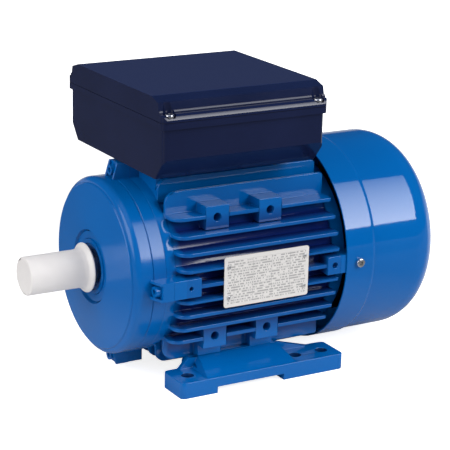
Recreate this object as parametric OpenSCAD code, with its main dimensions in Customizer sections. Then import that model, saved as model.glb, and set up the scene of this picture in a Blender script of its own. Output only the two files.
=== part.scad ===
// Foot-mounted single-phase induction motor, fan cooled, with a capacitor box on top.
// X runs along the shaft towards the drive end, Y towards the rating plate and Z up.
// The origin lies on the foot plane, midway between the four inner foot holes.

/* [Mounting] */
// Height of the shaft axis above the foot plane
axis_h = 90; // [88:1:100]
// Distance between the left and right foot holes
foot_gauge = 140; // [134:1:150]
// Distance between the front and the middle foot holes
foot_pitch = 100; // [92:1:108]
// Distance between the front and the rear foot holes
foot_pitch_long = 125; // [120:1:130]
// Distance from the front foot holes to the shaft shoulder
shoulder_offset = 56; // [53:1:64]
// Diameter of the foot holes
foot_hole_d = 10; // [7:0.5:12]

/* [Shaft] */
// Diameter of the shaft end
shaft_d = 24; // [18:1:24.6]
// Length of the shaft end
shaft_len = 50; // [36:1:70]
// Width of the keyway
key_w = 8; // [5:0.5:9]
// Depth of the keyway
key_depth = 4; // [3:0.25:5]
// Length of the keyway
key_len = 36; // [20:1:44]
// Angle of the keyway from the top, with the rotor at rest
key_angle = 45; // [0:15:345]
// Diameter of the shaft through the rotor
core_shaft_d = 30; // [28:0.5:33]
// Diameter of the shaft under the fan
fan_shaft_d = 20; // [15:0.5:22]
// Chamfer at the shaft ends
shaft_chamfer = 1.2; // [0.5:0.1:2]

/* [Bearings] */
// Bore of both ball bearings
bearing_bore = 25; // [25:0.1:26]
// Outer diameter of both ball bearings
bearing_od = 52; // [50:0.5:56]
// Width of both ball bearings
bearing_w = 15; // [13:0.5:16]
// Diameter of a bearing ball
ball_d = 7.9; // [6.5:0.1:8.5]
// Number of balls in a bearing
ball_count = 9; // [7:1:10]
// Clearance between a ball and its races
ball_gap = 0.12; // [0.08:0.01:0.2]
// Outer diameter of the shaft seal
seal_od = 38; // [36:0.5:40]
// Width of the shaft seal
seal_w = 7; // [5:0.5:8]
// Thickness of the bearing preload washer
preload_t = 1.2; // [0.8:0.1:2]

/* [Frame] */
// Length of the frame in front of the middle
frame_front = 70.4; // [68:0.2:74]
// Length of the frame behind the middle
frame_rear = 82; // [80:0.5:86]
// Bore of the frame
bore_d = 130; // [126:0.5:132]
// Outer diameter of the barrel between the fins
barrel_d = 140; // [138:0.5:142]
// Outer diameter of the end rings and of the drive-end shield
ring_d = 143; // [142:0.5:146]
// Width of the smooth ring at the drive end
ring_w = 8.4; // [6:0.2:12]
// Spacing of the cooling fins
fin_pitch = 12.5; // [11.5:0.25:13]
// Number of fins on each side of a centre line
fin_rows = 4; // [3:1:4]
// Thickness of a cooling fin
fin_t = 3; // [2:0.25:4]
// Diameter over the tips of the side fins
fin_tip_d = 167; // [164:1:171]
// Height of the top fins over the circle of the side fins
crown_rise = 1.7; // [0:0.1:3]
// Reach of the bottom fins below the shaft axis
base_fin_reach = 75; // [70:1:80]
// Corner radius of the fins at the drive end
fin_nose_r = 9; // [3:0.5:12]
// Corner radius of the fins at the fan end
fin_tail_r = 2.5; // [1:0.5:5]
// Width of the screw lugs around both end shields
lug_w = 15; // [14:0.5:18]
// Height of the lugs over the circle of the side fins
lug_rise = 0.5; // [0:0.1:1.5]
// Distance of the end shield screws from the top of their lugs
lug_edge = 6.5; // [6:0.1:7]
// Length of the side bosses of the frame at the drive end
boss_front_l = 24; // [18:1:28]
// Length of the top and bottom bosses of the frame at the drive end
boss_crown_l = 12.5; // [12:0.5:24]
// Length of the frame bosses at the fan end
boss_rear_l = 12.5; // [12:0.5:24]

/* [Pads] */
// Distance of the pads from the middle of the frame
pad_x = 24; // [20:1:28]
// Distance of the pad holes from the shaft axis
pad_off = 49; // [47:0.5:51]
// Distance of the pad faces from the shaft axis
pad_face = 67; // [65:0.5:70]
// Length of a pad along the shaft
pad_l = 21; // [17:0.5:24]
// Height of a pad across the shaft
pad_h = 19; // [16:0.5:22]
// Diameter of the tapped holes in the side pads
pad_hole_d = 6.8; // [5:0.1:8]
// Depth of the holes in the pads
pad_hole_depth = 13; // [8:0.5:14]

/* [End shields] */
// Depth of the drive-end shield in front of the frame
shield_depth = 31.1; // [29:0.1:34]
// Fall of the drive-end face from the dish to its rim
face_fall = 3.4; // [1.5:0.1:5]
// Distance of the face's rim from the outside of the shield
rim_inset = 5; // [3:0.25:5.5]
// Height of the step outside the face's rim
rim_step = 1.4; // [0.6:0.1:2.5]
// Radius of the shoulder between the rim and the outside
shoulder_r = 6; // [5.75:0.25:8]
// Distance of the groove around the shield from the frame
groove_off = 10.9; // [8:0.2:14]
// Width of the groove around the shield
groove_w = 1.2; // [0.6:0.1:2]
// Depth of the groove around the shield
groove_depth = 0.7; // [0.3:0.1:1.5]
// Diameter of the dish around the shaft
dish_d = 60; // [56:0.5:64]
// Depth of the dish around the shaft
dish_depth = 6; // [4:0.25:7]
// Slope of the wall of the dish
dish_draft = 3; // [1:0.25:4]
// Wall of both end shields
shield_wall = 6; // [4.5:0.25:8]
// Length of the spigots in the frame bore
spigot_len = 6; // [4:0.5:8]
// Length of the screw lugs of the drive-end shield
lug_len = 9.6; // [8:0.2:14]
// Length of the side walls of those lugs at the shield
lug_wall_l = 4.8; // [3:0.2:7]
// Length of the side walls of those lugs at their top
lug_wall_tip = 1.2; // [0:0.2:2.8]
// Thickness of the side walls of those lugs
lug_wall_t = 2.2; // [1.5:0.1:2.4]
// Wall around the bearing seats
hub_wall = 6; // [4:0.25:8]
// Wall of the ring around the seal
seal_ring_t = 3.2; // [2.5:0.1:3.6]
// Distance of that ring behind the face
seal_ring_in = 0.8; // [0.4:0.1:1.6]
// Distance of the seal behind the front of that ring
seal_in = 1; // [0.5:0.1:1.5]
// Thickness of the web between the seal and the bearing
seal_web = 6.7; // [5.5:0.1:7.5]

/* [Fan and cowl] */
// Height of the cowl's front band over the circle of the side fins
cowl_rise = 1.9; // [1.2:0.1:3]
// Drop in diameter behind the front band
cowl_step = 2; // [0.6:0.2:3]
// Width of the front band
cowl_band = 25; // [22:0.5:30]
// Length of the whole cowl
cowl_len = 98; // [90:1:110]
// Distance of the cowl from the frame
cowl_off = 5; // [3:0.5:8]
// Radius of the rounded rear edge
cowl_round = 26; // [8:0.5:30]
// Sheet thickness of the cowl
cowl_t = 1.2; // [0.8:0.1:2]
// Distance of the cowl screws from the front edge
cowl_screw_off = 12; // [11:0.5:15]
// Diameter of the closed middle of the grille
grille_hub_d = 34; // [24:1:44]
// Width of the slots in the grille
grille_slot = 5; // [3.5:0.25:6]
// Width of the rings between the slots
grille_bar = 4; // [3:0.25:6]
// Number of spokes across the grille
grille_spokes = 8; // [4:1:12]
// Diameter of the fan
fan_d = 142; // [120:1:152]
// Number of fan blades
fan_blades = 8; // [5:1:12]
// Length of the fan blades along the shaft
blade_l = 26; // [18:1:32]
// Thickness of the fan blades and of the fan disc
blade_t = 2.5; // [1.5:0.25:3.5]
// Outer diameter of the fan hub
fan_hub_d = 34; // [28:1:44]

/* [Feet] */
// Length of a foot
foot_l = 150.5; // [146:0.5:156]
// Distance from the front foot hole to the front end of the foot
foot_nose = 13.1; // [11:0.1:14]
// Width of a foot
foot_w = 31.7; // [28:0.1:36]
// Distance from the holes to the outer edge of a foot
foot_outer = 15.3; // [13:0.1:18]
// Thickness of a foot
foot_t = 13.4; // [9:0.2:15]
// Corner radius of a foot
foot_r = 4; // [1:0.5:8]
// Length of the pedestal on a foot
stand_l = 72; // [67:0.5:80]
// Distance of the pedestal's middle behind the origin
stand_shift = 2; // [0:0.25:3]
// Distance of the outer top edge of the pedestal from the motor's middle
stand_top = 56; // [55.5:0.25:60]
// Distance of the pedestal's foot from the outer edge of the foot
stand_ledge = 2.4; // [2:0.2:8]
// Flare of both ends of the pedestal down to the foot
stand_flare = 5; // [2:0.5:6]
// Thickness of the rib along the inner edge of a foot
rib_t = 4; // [3:0.25:5]
// Reach of that rib before the pedestal
rib_front = 8; // [4:0.5:10]
// Fall of the front end of that rib along the shaft
rib_slope = 9; // [4:0.5:10]
// Length of the falling tail of that rib behind the pedestal
rib_tail = 34; // [24:0.5:38]
// Length of the relief under a foot
relief_l = 61; // [50:0.5:66]
// Height of the relief under a foot
relief_h = 5.2; // [2:0.2:7]
// Depth of the pockets in the ends of the pedestal
stand_pocket = 4; // [2:0.25:5]

/* [Terminal box] */
// Height of the frame's neck over the screw lugs
neck_rise = 0; // [0:0.5:4]
// Half width of the neck
neck_half = 36; // [34:0.5:37]
// Length of the neck in front of the middle
neck_front = 62; // [58:0.5:62]
// Length of the neck behind the middle
neck_rear = 60; // [56:0.5:64]
// Diameter of the wire way through the neck
wire_way_d = 26; // [16:1:32]
// Thickness of the gasket on the neck
neck_gasket_t = 2; // [1:0.25:3]
// Length of the box
box_l = 146; // [138:0.5:152]
// Distance of the middle of the box in front of the origin
box_shift = 8.5; // [4:0.5:11]
// Width of the box
box_w = 166.2; // [160:0.2:172]
// Height of the box base with its rim
box_base_h = 45.8; // [45.4:0.2:52]
// Height of the rim of the box base
rim_h = 5.1; // [3:0.1:8]
// Overhang of the rim
rim_over = 1.8; // [1:0.1:3]
// Height of the slope at the bottom of the long sides
slope_h = 17; // [10:0.5:17]
// Width of the slope at the bottom of the long sides
slope_w = 13.8; // [8:0.2:18]
// Corner radius of the box
box_r = 4.5; // [1.5:0.25:6]
// Wall of the box
box_wall = 3; // [2:0.1:4]
// Thickness of the lid gasket
lid_gasket_t = 0.4; // [0.3:0.1:1]
// Height of the lid
lid_h = 17.5; // [16:0.25:22]
// Height of the lid's rim
lid_rim_h = 5.8; // [4:0.1:7]
// Width of the ledge along the lid
lid_ledge = 7.6; // [6.5:0.1:9]
// Height of the bevel along the lid
lid_bevel_h = 3.3; // [1.5:0.1:5]
// Width of the bevel along the lid
lid_bevel_w = 10.4; // [5:0.2:14]
// Distance of the lid screws from the ends of the box
lid_screw_end = 7.5; // [6.5:0.25:9]
// Distance of the lid screws from the long sides
lid_screw_side = 4.6; // [4:0.1:5.2]
// Diameter of the thread of the cable gland
gland_d = 20; // [16:0.5:20]
// Distance of the cable gland in front of the origin
gland_x = 42; // [30:1:46]
// Diameter of the start capacitor
start_cap_d = 42; // [34:1:44]
// Length of the start capacitor
start_cap_l = 92; // [70:1:104]
// Diameter of the run capacitor
run_cap_d = 36; // [28:1:38]
// Length of the run capacitor
run_cap_l = 84; // [60:1:98]

/* [Core and rotor] */
// Length of the stator and rotor stacks
core_l = 100; // [80:1:104]
// Distance of the middle of the stacks behind the origin
core_shift = 5; // [3:0.5:8]
// Bore of the stator stack
core_bore_d = 72; // [68:0.5:76]
// Radial air gap
air_gap = 0.35; // [0.32:0.01:0.6]
// Number of stator slots
slot_count = 24; // [18:6:30]
// Depth of a stator slot
slot_depth = 15; // [10:0.5:17]
// Width of a stator slot
slot_w = 5; // [3:0.25:5.5]
// Number of rotor bars
bar_count = 28; // [18:1:30]
// Diameter of a rotor bar
bar_d = 5; // [3.5:0.25:5.5]
// Length of the end windings
winding_l = 20; // [14:1:22]
// Length of the rotor's end rings
end_ring_l = 10; // [6:0.5:11]
// Travel of the centrifugal switch collar
spool_travel = 3; // [2:0.25:3.5]

/* [Rating plate] */
// Length of the rating plate
plate_l = 77; // [70:0.5:84]
// Height of the rating plate
plate_h = 41; // [34:0.5:44]
// Thickness of the rating plate
plate_t = 0.8; // [0.5:0.1:1.5]
// Distance of the plate's middle behind the origin
plate_shift = 12.5; // [8:0.5:16]

/* [Shaft sleeve] */
// Outer diameter of the protective sleeve
sleeve_d = 30.8; // [29.6:0.1:33]
// Diameter of the flange of the sleeve
sleeve_flange_d = 40; // [35:0.5:46]
// Wall of the closed end of the sleeve
sleeve_end_t = 1.2; // [0.8:0.1:2]
// Bore of the sleeve over the shaft end
sleeve_bore_d = 27.6; // [26.4:0.1:28]

/* [Fits] */
// Gap of pressed and shrunk seats
press_gap = 0.02; // [0.01:0.01:0.05]
// Gap of the spigots, the stator stack and other located pieces
seat_gap = 0.05; // [0.03:0.01:0.1]
// Gap between a screw and its hole
screw_gap = 0.06; // [0.04:0.01:0.2]
// Gap of pieces that slide on each other
slide_gap = 0.2; // [0.1:0.05:0.3]

/* [Hidden] */
$fn = 96;

// Colours
paint_blue = [0.02, 0.27, 0.62];
box_black = [0.06, 0.07, 0.13];
steel = [0.72, 0.73, 0.75];
zinc = [0.80, 0.80, 0.82];
brass = [0.80, 0.64, 0.30];
copper = [0.72, 0.38, 0.20];
iron = [0.42, 0.43, 0.46];
aluminium = [0.80, 0.81, 0.83];
rubber = [0.05, 0.05, 0.05];
white_plastic = [0.93, 0.93, 0.91];
black_plastic = [0.08, 0.08, 0.09];
board_brown = [0.55, 0.30, 0.12];

// Stations along the shaft
cut = 1;
shoulder_x = foot_pitch / 2 + shoulder_offset;
shaft_tip = shoulder_x + shaft_len;
frame_back = -frame_rear;
fin_front = frame_front - ring_w;
de_face = frame_front + shield_depth;
rim_x = de_face - face_fall;
dish_floor = de_face - dish_depth;
seal_ring_x = de_face - seal_ring_in;
seal_front = seal_ring_x - seal_in;
seal_back = seal_front - seal_w;
de_bearing_front = seal_back - seal_web;
de_bearing_back = de_bearing_front - bearing_w;
hub_lip = 2;
nde_bearing_off = 6;
nde_bearing_front = frame_back - nde_bearing_off;
nde_bearing_back = nde_bearing_front - bearing_w;
nde_hub_floor = nde_bearing_back - preload_t;
nde_hub_wall = 3;
nde_hub_end = nde_hub_floor - nde_hub_wall;
fan_seat = nde_hub_end - 3;
fan_hub_l = blade_l + blade_t + 8;
fan_end = fan_seat - fan_hub_l;
circlip_t = 1.2;
fan_tail = 5;
shaft_back = fan_end - circlip_t - fan_tail;
cowl_front = frame_back - cowl_off;
cowl_back = cowl_front - cowl_len;
cowl_screw_x = cowl_front - cowl_screw_off;
cowl_screw_l = 4;
screw_bite = 10;
screw_hole_end = 1;
boss_hole_l = screw_bite + screw_hole_end;
nde_web_front = frame_back - 7;
nde_lug_back = cowl_screw_x - 8;
nde_screw_seat = nde_lug_back + 3;
switch_rise = 46;
switch_z = axis_h + switch_rise;
switch_post_y = 16;
core_front = core_l / 2 - core_shift;
core_back = -core_l / 2 - core_shift;

// Radii
bore_r = bore_d / 2;
spigot_r = bore_r - seat_gap;
ring_r = ring_d / 2;
rim_r = ring_r - rim_inset;
crown_tip_d = fin_tip_d + 2 * crown_rise;
lug_reach = fin_tip_d / 2 + lug_rise;
lug_screw_r = lug_reach - lug_edge;
nde_screw_r = lug_screw_r - 1.5;
hub_r = bearing_od / 2 + hub_wall;
shield_wall_r = spigot_r - shield_wall;
lug_root = shield_wall_r + 1;
cowl_r = fin_tip_d / 2 + cowl_rise;
cowl_inner_r = cowl_r - cowl_t;
nde_lug_reach = cowl_inner_r - slide_gap;
rotor_r = core_bore_d / 2 - air_gap;
pitch_r = (bearing_bore + bearing_od) / 4;
race_r = ball_d / 2 + ball_gap;
land_gap = ball_d * 0.26;
collar_r = bearing_bore / 2;

// Screws: thread diameter, head diameter, head height
m3 = [3, 5.6, 2.2];
m4 = [4, 7.6, 3];
m5 = [5, 8.5, 4.6];
m8 = [8, 13, 8];
pan5 = [m5[0], 9, 3.2];

// Heights of the terminal box
neck_top = axis_h + lug_reach + neck_rise;
box_floor = neck_top + neck_gasket_t;
floor_t = 3.5;
box_inside = box_floor + floor_t;
base_top = box_floor + box_base_h;
lid_floor = base_top + lid_gasket_t;
lid_top = lid_floor + lid_h;
ledge_z = lid_floor + lid_rim_h;
ledge_step = 2.3;
ledge_r = min(lid_rim_h - 0.8, lid_ledge - 2.5);
box_x0 = box_shift - box_l / 2;
box_x1 = box_shift + box_l / 2;
box_half = box_w / 2;
wall_half = box_half - rim_over;
lid_screw_xs = [box_x0 + lid_screw_end, box_x1 - lid_screw_end];
lid_screw_y = box_half - lid_screw_side;
lid_pocket_z = lid_floor + 3;
lid_boss_d = 9;
lid_screw_bite = 12;
gland_z = (box_floor + slope_h + base_top - rim_h) / 2;
gland_hex = gland_d + 3;
gland_flange_t = 6;
gland_cap_l = 16;
gland_nut_t = 5;
gland_bore_d = 11;
neck_screw_xs = [neck_front - 12, -neck_rear + 12];
neck_screw_y = neck_half - 8;

// Places inside the terminal box
cap_strap_t = 1.5;
cap_strap_w = 12;
cap_lift = cap_strap_t + seat_gap;
start_cap_y = wall_half - box_wall - 6 - start_cap_d / 2;
run_cap_y = start_cap_y - start_cap_d / 2 - run_cap_d / 2 - 2 * cap_strap_t - 3;
start_cap_z = box_inside + cap_lift + start_cap_d / 2;
run_cap_z = box_inside + cap_lift + run_cap_d / 2;
block_l = 72;
block_w = 34;
block_h = 12;
block_y = run_cap_y - run_cap_d / 2 - cap_strap_t - 4 - block_w / 2;
stud_pitch = 22;
stud_row = 15;

// Places of the centrifugal switch
gov_plate_t = 2;
gov_front = core_back - end_ring_l - 1;
gov_hub_l = 4;
gov_weight_l = 9;
gov_ear_l = gov_weight_l + 4;
gov_pin_x = gov_front - gov_ear_l;
gov_pin_r = 29;
gov_pin_d = 2.4;
gov_arm_l = 10;
gov_weight_w = 14;
spool_flange_t = 2;
spool_groove = 3.2;
spool_x0 = gov_pin_x - spool_groove / 2 - spool_flange_t;
spool_l = spool_groove + 2 * spool_flange_t;
spool_r = gov_pin_r - gov_arm_l + 2;
spool_neck_r = core_shaft_d / 2 + 2;

// Revolves an outline of radius and station about the shaft axis
module spun(outline) {
    translate([0, 0, axis_h]) rotate([0, 90, 0]) rotate_extrude() polygon(outline);
}

// Round bar along the shaft from x0 to x1, on the axis or beside it
module rod_x(d, x0, x1, y = 0, z = axis_h) {
    translate([x0, y, z]) rotate([0, 90, 0]) cylinder(d = d, h = x1 - x0);
}

// Round bar along +Y from y0 to y1
module rod_y(d, y0, y1, x, z) {
    translate([x, y0, z]) rotate([-90, 0, 0]) cylinder(d = d, h = y1 - y0);
}

// Round bar along Z from z0 to z1
module rod_z(d, z0, z1, x, y) {
    translate([x, y, z0]) cylinder(d = d, h = z1 - z0);
}

// Block between two corners
module block(low, high) {
    translate(low) cube(high - low);
}

// Repeats its children around the shaft: their local +Y points outwards
module around(angles) {
    for (a = angles) translate([0, 0, axis_h]) rotate([a, 0, 0]) children();
}

// Rectangle with round corners, from one corner to the other
module round_rect(low, high, r) {
    translate([low[0] + r, low[1]]) square([high[0] - low[0] - 2 * r, high[1] - low[1]]);
    translate([low[0], low[1] + r]) square([high[0] - low[0], high[1] - low[1] - 2 * r]);
    for (x = [low[0] + r, high[0] - r], y = [low[1] + r, high[1] - r]) translate([x, y]) circle(r);
}

// Outline in Y and Z, drawn out along X
module drawn_x(x0, x1, outline) {
    translate([x0, 0, 0]) rotate([90, 0, 90]) linear_extrude(x1 - x0) polygon(outline);
}

// Outline in X and Z, drawn out along Y
module drawn_y(y0, y1, outline) {
    translate([0, y1, 0]) rotate([90, 0, 0]) linear_extrude(y1 - y0) polygon(outline);
}

// Screw with its head above the local origin and its shank below
module screw(size, l) {
    cylinder(d = size[1], h = size[2]);
    translate([0, 0, -l]) cylinder(d = size[0], h = l);
}

// Socket head screw: the same with a hexagon socket
module socket_screw(size, l) {
    difference() {
        screw(size, l);
        translate([0, 0, size[2] * 0.45]) cylinder(d = size[0] * 0.95, h = size[2], $fn = 6);
    }
}

// Pan head screw: the same with a crossed recess
module cross_screw(size, l) {
    recess = size[1] * 0.55;
    slot = size[1] * 0.15;
    difference() {
        screw(size, l);
        for (a = [0, 90]) translate([0, 0, size[2]]) rotate([0, 0, a])
            cube([recess, slot, size[2]], center = true);
    }
}

// Reach of a fin whose middle plane lies at an offset from the axis
function fin_reach(off, tip_d) = sqrt(pow(tip_d / 2, 2) - off * off);

// Offsets of the fins on both sides of a centre line
fin_offsets = [for (i = [-fin_rows:fin_rows]) i * fin_pitch];
plate_face = fin_reach(fin_pitch, fin_tip_d);

// Outline of a fin along the shaft, with its outer corners rounded
module fin_outline(x0, x1, y0, y1) {
    nose = min(fin_nose_r, y1 - y0 - 1);
    tail = min(fin_tail_r, y1 - y0 - 1);
    translate([x0 + tail, y0]) square([x1 - x0 - tail - nose, y1 - y0]);
    translate([x0, y0]) square([tail + 1, y1 - y0 - tail]);
    translate([x1 - nose - 1, y0]) square([nose + 1, y1 - y0 - nose]);
    translate([x0 + tail, y1 - tail]) circle(tail);
    translate([x1 - nose, y1 - nose]) circle(nose);
}

// One fin on the local +Y side
module fin(off, reach) {
    root = sqrt(max(pow(bore_r, 2) - off * off, 0));
    translate([0, 0, off - fin_t / 2]) linear_extrude(fin_t)
        fin_outline(frame_back, fin_front, max(root - 4, 30), reach);
}

// Fins on the two flanks, whose middle tips lie flat under the plate
module side_fins() {
    around([0, 180]) for (off = fin_offsets) fin(off, min(fin_reach(off, fin_tip_d), plate_face));
}

// Vertical fins above and below, the lower ones cut level
module crown_fins() {
    around([90]) for (off = fin_offsets) if (abs(off) > neck_half) fin(off, fin_reach(off, crown_tip_d));
    around([270]) for (off = fin_offsets) fin(off, min(fin_reach(off, crown_tip_d), base_fin_reach));
}

// Bosses for the end shield screws at both ends
module frame_bosses() {
    around([0, 180])
        block([frame_front - boss_front_l, lug_root, -lug_w / 2], [frame_front, lug_reach, lug_w / 2]);
    around([90, 270])
        block([frame_front - boss_crown_l, lug_root, -lug_w / 2], [frame_front, lug_reach, lug_w / 2]);
    around([0, 90, 180, 270])
        block([frame_back, lug_root, -lug_w / 2], [frame_back + boss_rear_l, nde_lug_reach, lug_w / 2]);
}

// Machined pads on the flanks, and the seats of the feet below
module frame_pads() {
    around([0, 180]) for (x = [-pad_x, pad_x], z = [-pad_off, pad_off])
        block([x - pad_l / 2, pad_off - pad_h / 2, z - pad_h / 2], [x + pad_l / 2, pad_face, z + pad_h / 2]);
    around([270]) for (x = [-pad_x, pad_x], y = [-pad_off, pad_off])
        block([x - pad_l / 2, pad_off - pad_h / 2, y - pad_h / 2], [x + pad_l / 2, pad_face, y + pad_h / 2]);
}

// Neck that carries the terminal box
module frame_neck() {
    block([-neck_rear, -neck_half, axis_h], [neck_front, neck_half, neck_top]);
}

// Round bar along the local +Y of around()
module rod_y_local(d, y0, y1, x, z) {
    translate([x, y0, z]) rotate([-90, 0, 0]) cylinder(d = d, h = y1 - y0);
}

module stator_frame() {
    color(paint_blue) difference() {
        union() {
            rod_x(barrel_d, frame_back, frame_front);
            rod_x(ring_d, fin_front, frame_front);
            side_fins();
            crown_fins();
            frame_bosses();
            frame_pads();
            frame_neck();
        }
        rod_x(bore_d, frame_back - cut, frame_front + cut);
        rod_z(wire_way_d, axis_h, neck_top + cut, 0, 0);
        around([0, 180]) for (x = [-pad_x, pad_x], z = [-pad_off, pad_off])
            rod_y_local(pad_hole_d, pad_face - pad_hole_depth, pad_face + cut, x, z);
        around([270]) for (x = [-pad_x, pad_x], y = [-pad_off, pad_off])
            rod_y_local(m8[0] + 2 * screw_gap, pad_face - pad_hole_depth, pad_face + cut, x, y);
        around([0, 90, 180, 270]) {
            translate([frame_front - boss_hole_l, lug_screw_r, 0]) rotate([0, 90, 0])
                cylinder(d = m5[0] + 2 * screw_gap, h = boss_hole_l + cut);
            translate([frame_back - cut, nde_screw_r, 0]) rotate([0, 90, 0])
                cylinder(d = m5[0] + 2 * screw_gap, h = boss_hole_l + cut);
        }
        for (x = neck_screw_xs, y = [-neck_screw_y, neck_screw_y])
            rod_z(m5[0] + 2 * screw_gap, neck_top - boss_hole_l, neck_top + cut, x, y);
        for (i = [-1, 1]) mirror([0, i < 0 ? 1 : 0, 0])
            block([stand_x0 - 1, stand_in - 1, 0], [stand_x1 + 1, stand_top + 1, seat_z]);
        around([0]) {
            for (x = plate_rivet_xs, z = [-fin_pitch, fin_pitch])
                rod_y_local(rivet_d + 2 * screw_gap, plate_face - rivet_bite - screw_hole_end,
                    plate_face + cut, x, z);
            rod_y_local(bond_hole_d, lug_reach - bond_hole_l, lug_reach + cut,
                frame_front - bond_hole_off, 0);
            rod_y_local(rear_hole_d, nde_lug_reach - bond_hole_l, lug_reach + cut,
                frame_back + rear_hole_off, 0);
        }
    }
}

// Spare tapped holes in the two bosses of the plate side
bond_hole_d = 3.4;
bond_hole_l = 4;
bond_hole_off = 15;
rear_hole_d = 5;
rear_hole_off = 5.5;

// Laminated stack with open slots
module stator_core() {
    slot_r = core_bore_d / 2;
    color(iron) translate([core_back, 0, axis_h]) rotate([90, 0, 90]) linear_extrude(core_l) difference() {
        circle(d = bore_d - 2 * seat_gap);
        circle(d = core_bore_d);
        for (i = [0:slot_count - 1]) rotate(360 * i / slot_count) {
            translate([slot_r + 1.5, -slot_w / 2]) square([slot_depth - 1.5 - slot_w / 2, slot_w]);
            translate([slot_r + slot_depth - slot_w / 2, 0]) circle(d = slot_w);
            translate([slot_r - 2, -1.2]) square([6, 2.4]);
        }
    }
}

// Copper in the slots, and the end windings at both ends of the stack
module stator_windings() {
    slot_fill = slot_w - 2 * slide_gap;
    low = core_bore_d / 2 + 5;
    high = core_bore_d / 2 + slot_depth + 4;
    fat = (high - low) / 2;
    color(copper) {
        for (i = [0:slot_count - 1]) translate([core_back, 0, axis_h]) rotate([360 * i / slot_count, 0, 0])
            block([0, low, -slot_fill / 2],
                [core_l, core_bore_d / 2 + slot_depth - slot_w / 2, slot_fill / 2]);
        for (x = [core_front, core_back - winding_l]) translate([x, 0, axis_h]) rotate([0, 90, 0])
            rotate_extrude() round_rect([low, 0], [high, winding_l], fat * 0.7);
    }
}

// Section of the drive-end shield: dished face with a raised rim, a seal ring and a round shoulder
module de_shield_section() {
    groove_x = frame_front + groove_off;
    seat_r = bearing_od / 2 + press_gap;
    passage_r = collar_r + 2.5;
    seal_ring_r = seal_od / 2 + seal_ring_t;
    seal_ring_draft = 0.8;
    rim_lean = 0.4;
    rim_chamfer = 0.5;
    shoulder_in = ring_r - shoulder_r;
    step_x = rim_x - rim_step;
    shoulder_c = step_x - sqrt(pow(shoulder_r, 2) - pow(rim_r + rim_lean - shoulder_in, 2));
    wall_fall = face_fall * (shield_wall_r - hub_r) / (rim_r - dish_d / 2);
    web_back = de_face - shield_wall;
    polygon([[spigot_r, frame_front - spigot_len], [spigot_r, frame_front], [ring_r, frame_front],
        [ring_r, groove_x - groove_w / 2], [ring_r - groove_depth, groove_x],
        [ring_r, groove_x + groove_w / 2], [ring_r, shoulder_c], [rim_r + rim_lean, step_x],
        [rim_r, rim_x - rim_chamfer], [rim_r - rim_chamfer, rim_x], [dish_d / 2, de_face],
        [dish_d / 2 - dish_draft, dish_floor], [seal_ring_r + seal_ring_draft, dish_floor],
        [seal_ring_r, seal_ring_x], [seal_od / 2 + press_gap, seal_ring_x],
        [seal_od / 2 + press_gap, seal_back], [passage_r, seal_back],
        [passage_r, de_bearing_front], [seat_r, de_bearing_front],
        [seat_r, de_bearing_back - hub_lip], [hub_r, de_bearing_back - hub_lip],
        [hub_r, web_back], [shield_wall_r, web_back - wall_fall],
        [shield_wall_r, frame_front - spigot_len]]);
    translate([shoulder_in, shoulder_c]) circle(shoulder_r);
}

// Screw lug of that shield: a block with two side walls that shelter the screw head
module de_lug() {
    seat_x = frame_front + lug_len;
    block([frame_front, lug_root, -lug_w / 2], [seat_x, lug_reach, lug_w / 2]);
    for (z = [-lug_w / 2, lug_w / 2 - lug_wall_t]) translate([0, 0, z]) linear_extrude(lug_wall_t)
        polygon([[seat_x - cut, lug_root], [seat_x - cut, lug_reach], [seat_x + lug_wall_tip, lug_reach],
            [seat_x + lug_wall_l, ring_r], [seat_x + lug_wall_l, lug_root]]);
}

module de_end_shield() {
    color(paint_blue) difference() {
        union() {
            translate([0, 0, axis_h]) rotate([0, 90, 0]) rotate_extrude() de_shield_section();
            around([0, 90, 180, 270]) de_lug();
        }
        around([0, 90, 180, 270]) {
            translate([frame_front - cut, lug_screw_r, 0]) rotate([0, 90, 0])
                cylinder(d = m5[0] + 2 * screw_gap, h = lug_len + 2 * cut);
            translate([frame_front + lug_len, lug_screw_r, 0]) rotate([0, 90, 0])
                cylinder(d = m5[1] + 1, h = lug_len);
        }
    }
}

// Fan-end shield: bearing seat with its preload washer, spigot, and lugs that carry the cowl
module nde_end_shield() {
    web_back = nde_web_front - shield_wall;
    seat_r = bearing_od / 2 + press_gap;
    color(paint_blue) difference() {
        union() {
            spun([[spigot_r, frame_back + spigot_len], [spigot_r, frame_back], [ring_r, frame_back],
                [ring_r, web_back + 2], [ring_r - 2, web_back], [hub_r + 2, web_back],
                [hub_r, nde_hub_end + 2], [hub_r - 2, nde_hub_end],
                [collar_r + 1, nde_hub_end], [collar_r + 1, nde_hub_floor], [seat_r, nde_hub_floor],
                [seat_r, nde_bearing_front + hub_lip], [hub_r, nde_bearing_front + hub_lip],
                [hub_r, nde_web_front], [shield_wall_r, nde_web_front],
                [shield_wall_r, frame_back + spigot_len]]);
            intersection() {
                around([0, 90, 180, 270])
                    block([nde_lug_back, lug_root, -lug_w / 2], [frame_back, cowl_r, lug_w / 2]);
                rod_x(2 * nde_lug_reach, nde_lug_back - cut, frame_back + cut);
            }
        }
        around([0, 90, 180, 270]) {
            translate([nde_lug_back - cut, nde_screw_r, 0]) rotate([0, 90, 0])
                cylinder(d = m5[1] + 1, h = nde_screw_seat - nde_lug_back + cut);
            translate([nde_lug_back - cut, nde_screw_r, 0]) rotate([0, 90, 0])
                cylinder(d = m5[0] + 2 * screw_gap, h = frame_back - nde_lug_back + 2 * cut);
            translate([cowl_screw_x, nde_lug_reach - cowl_screw_l - 1, 0]) rotate([-90, 0, 0])
                cylinder(d = m4[0] + 2 * screw_gap, h = cowl_screw_l + 2);
        }
        for (y = [-switch_post_y, switch_post_y])
            rod_x(m3[0] + 2 * screw_gap, web_back - cut, nde_web_front + cut, y, switch_z);
    }
}

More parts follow.
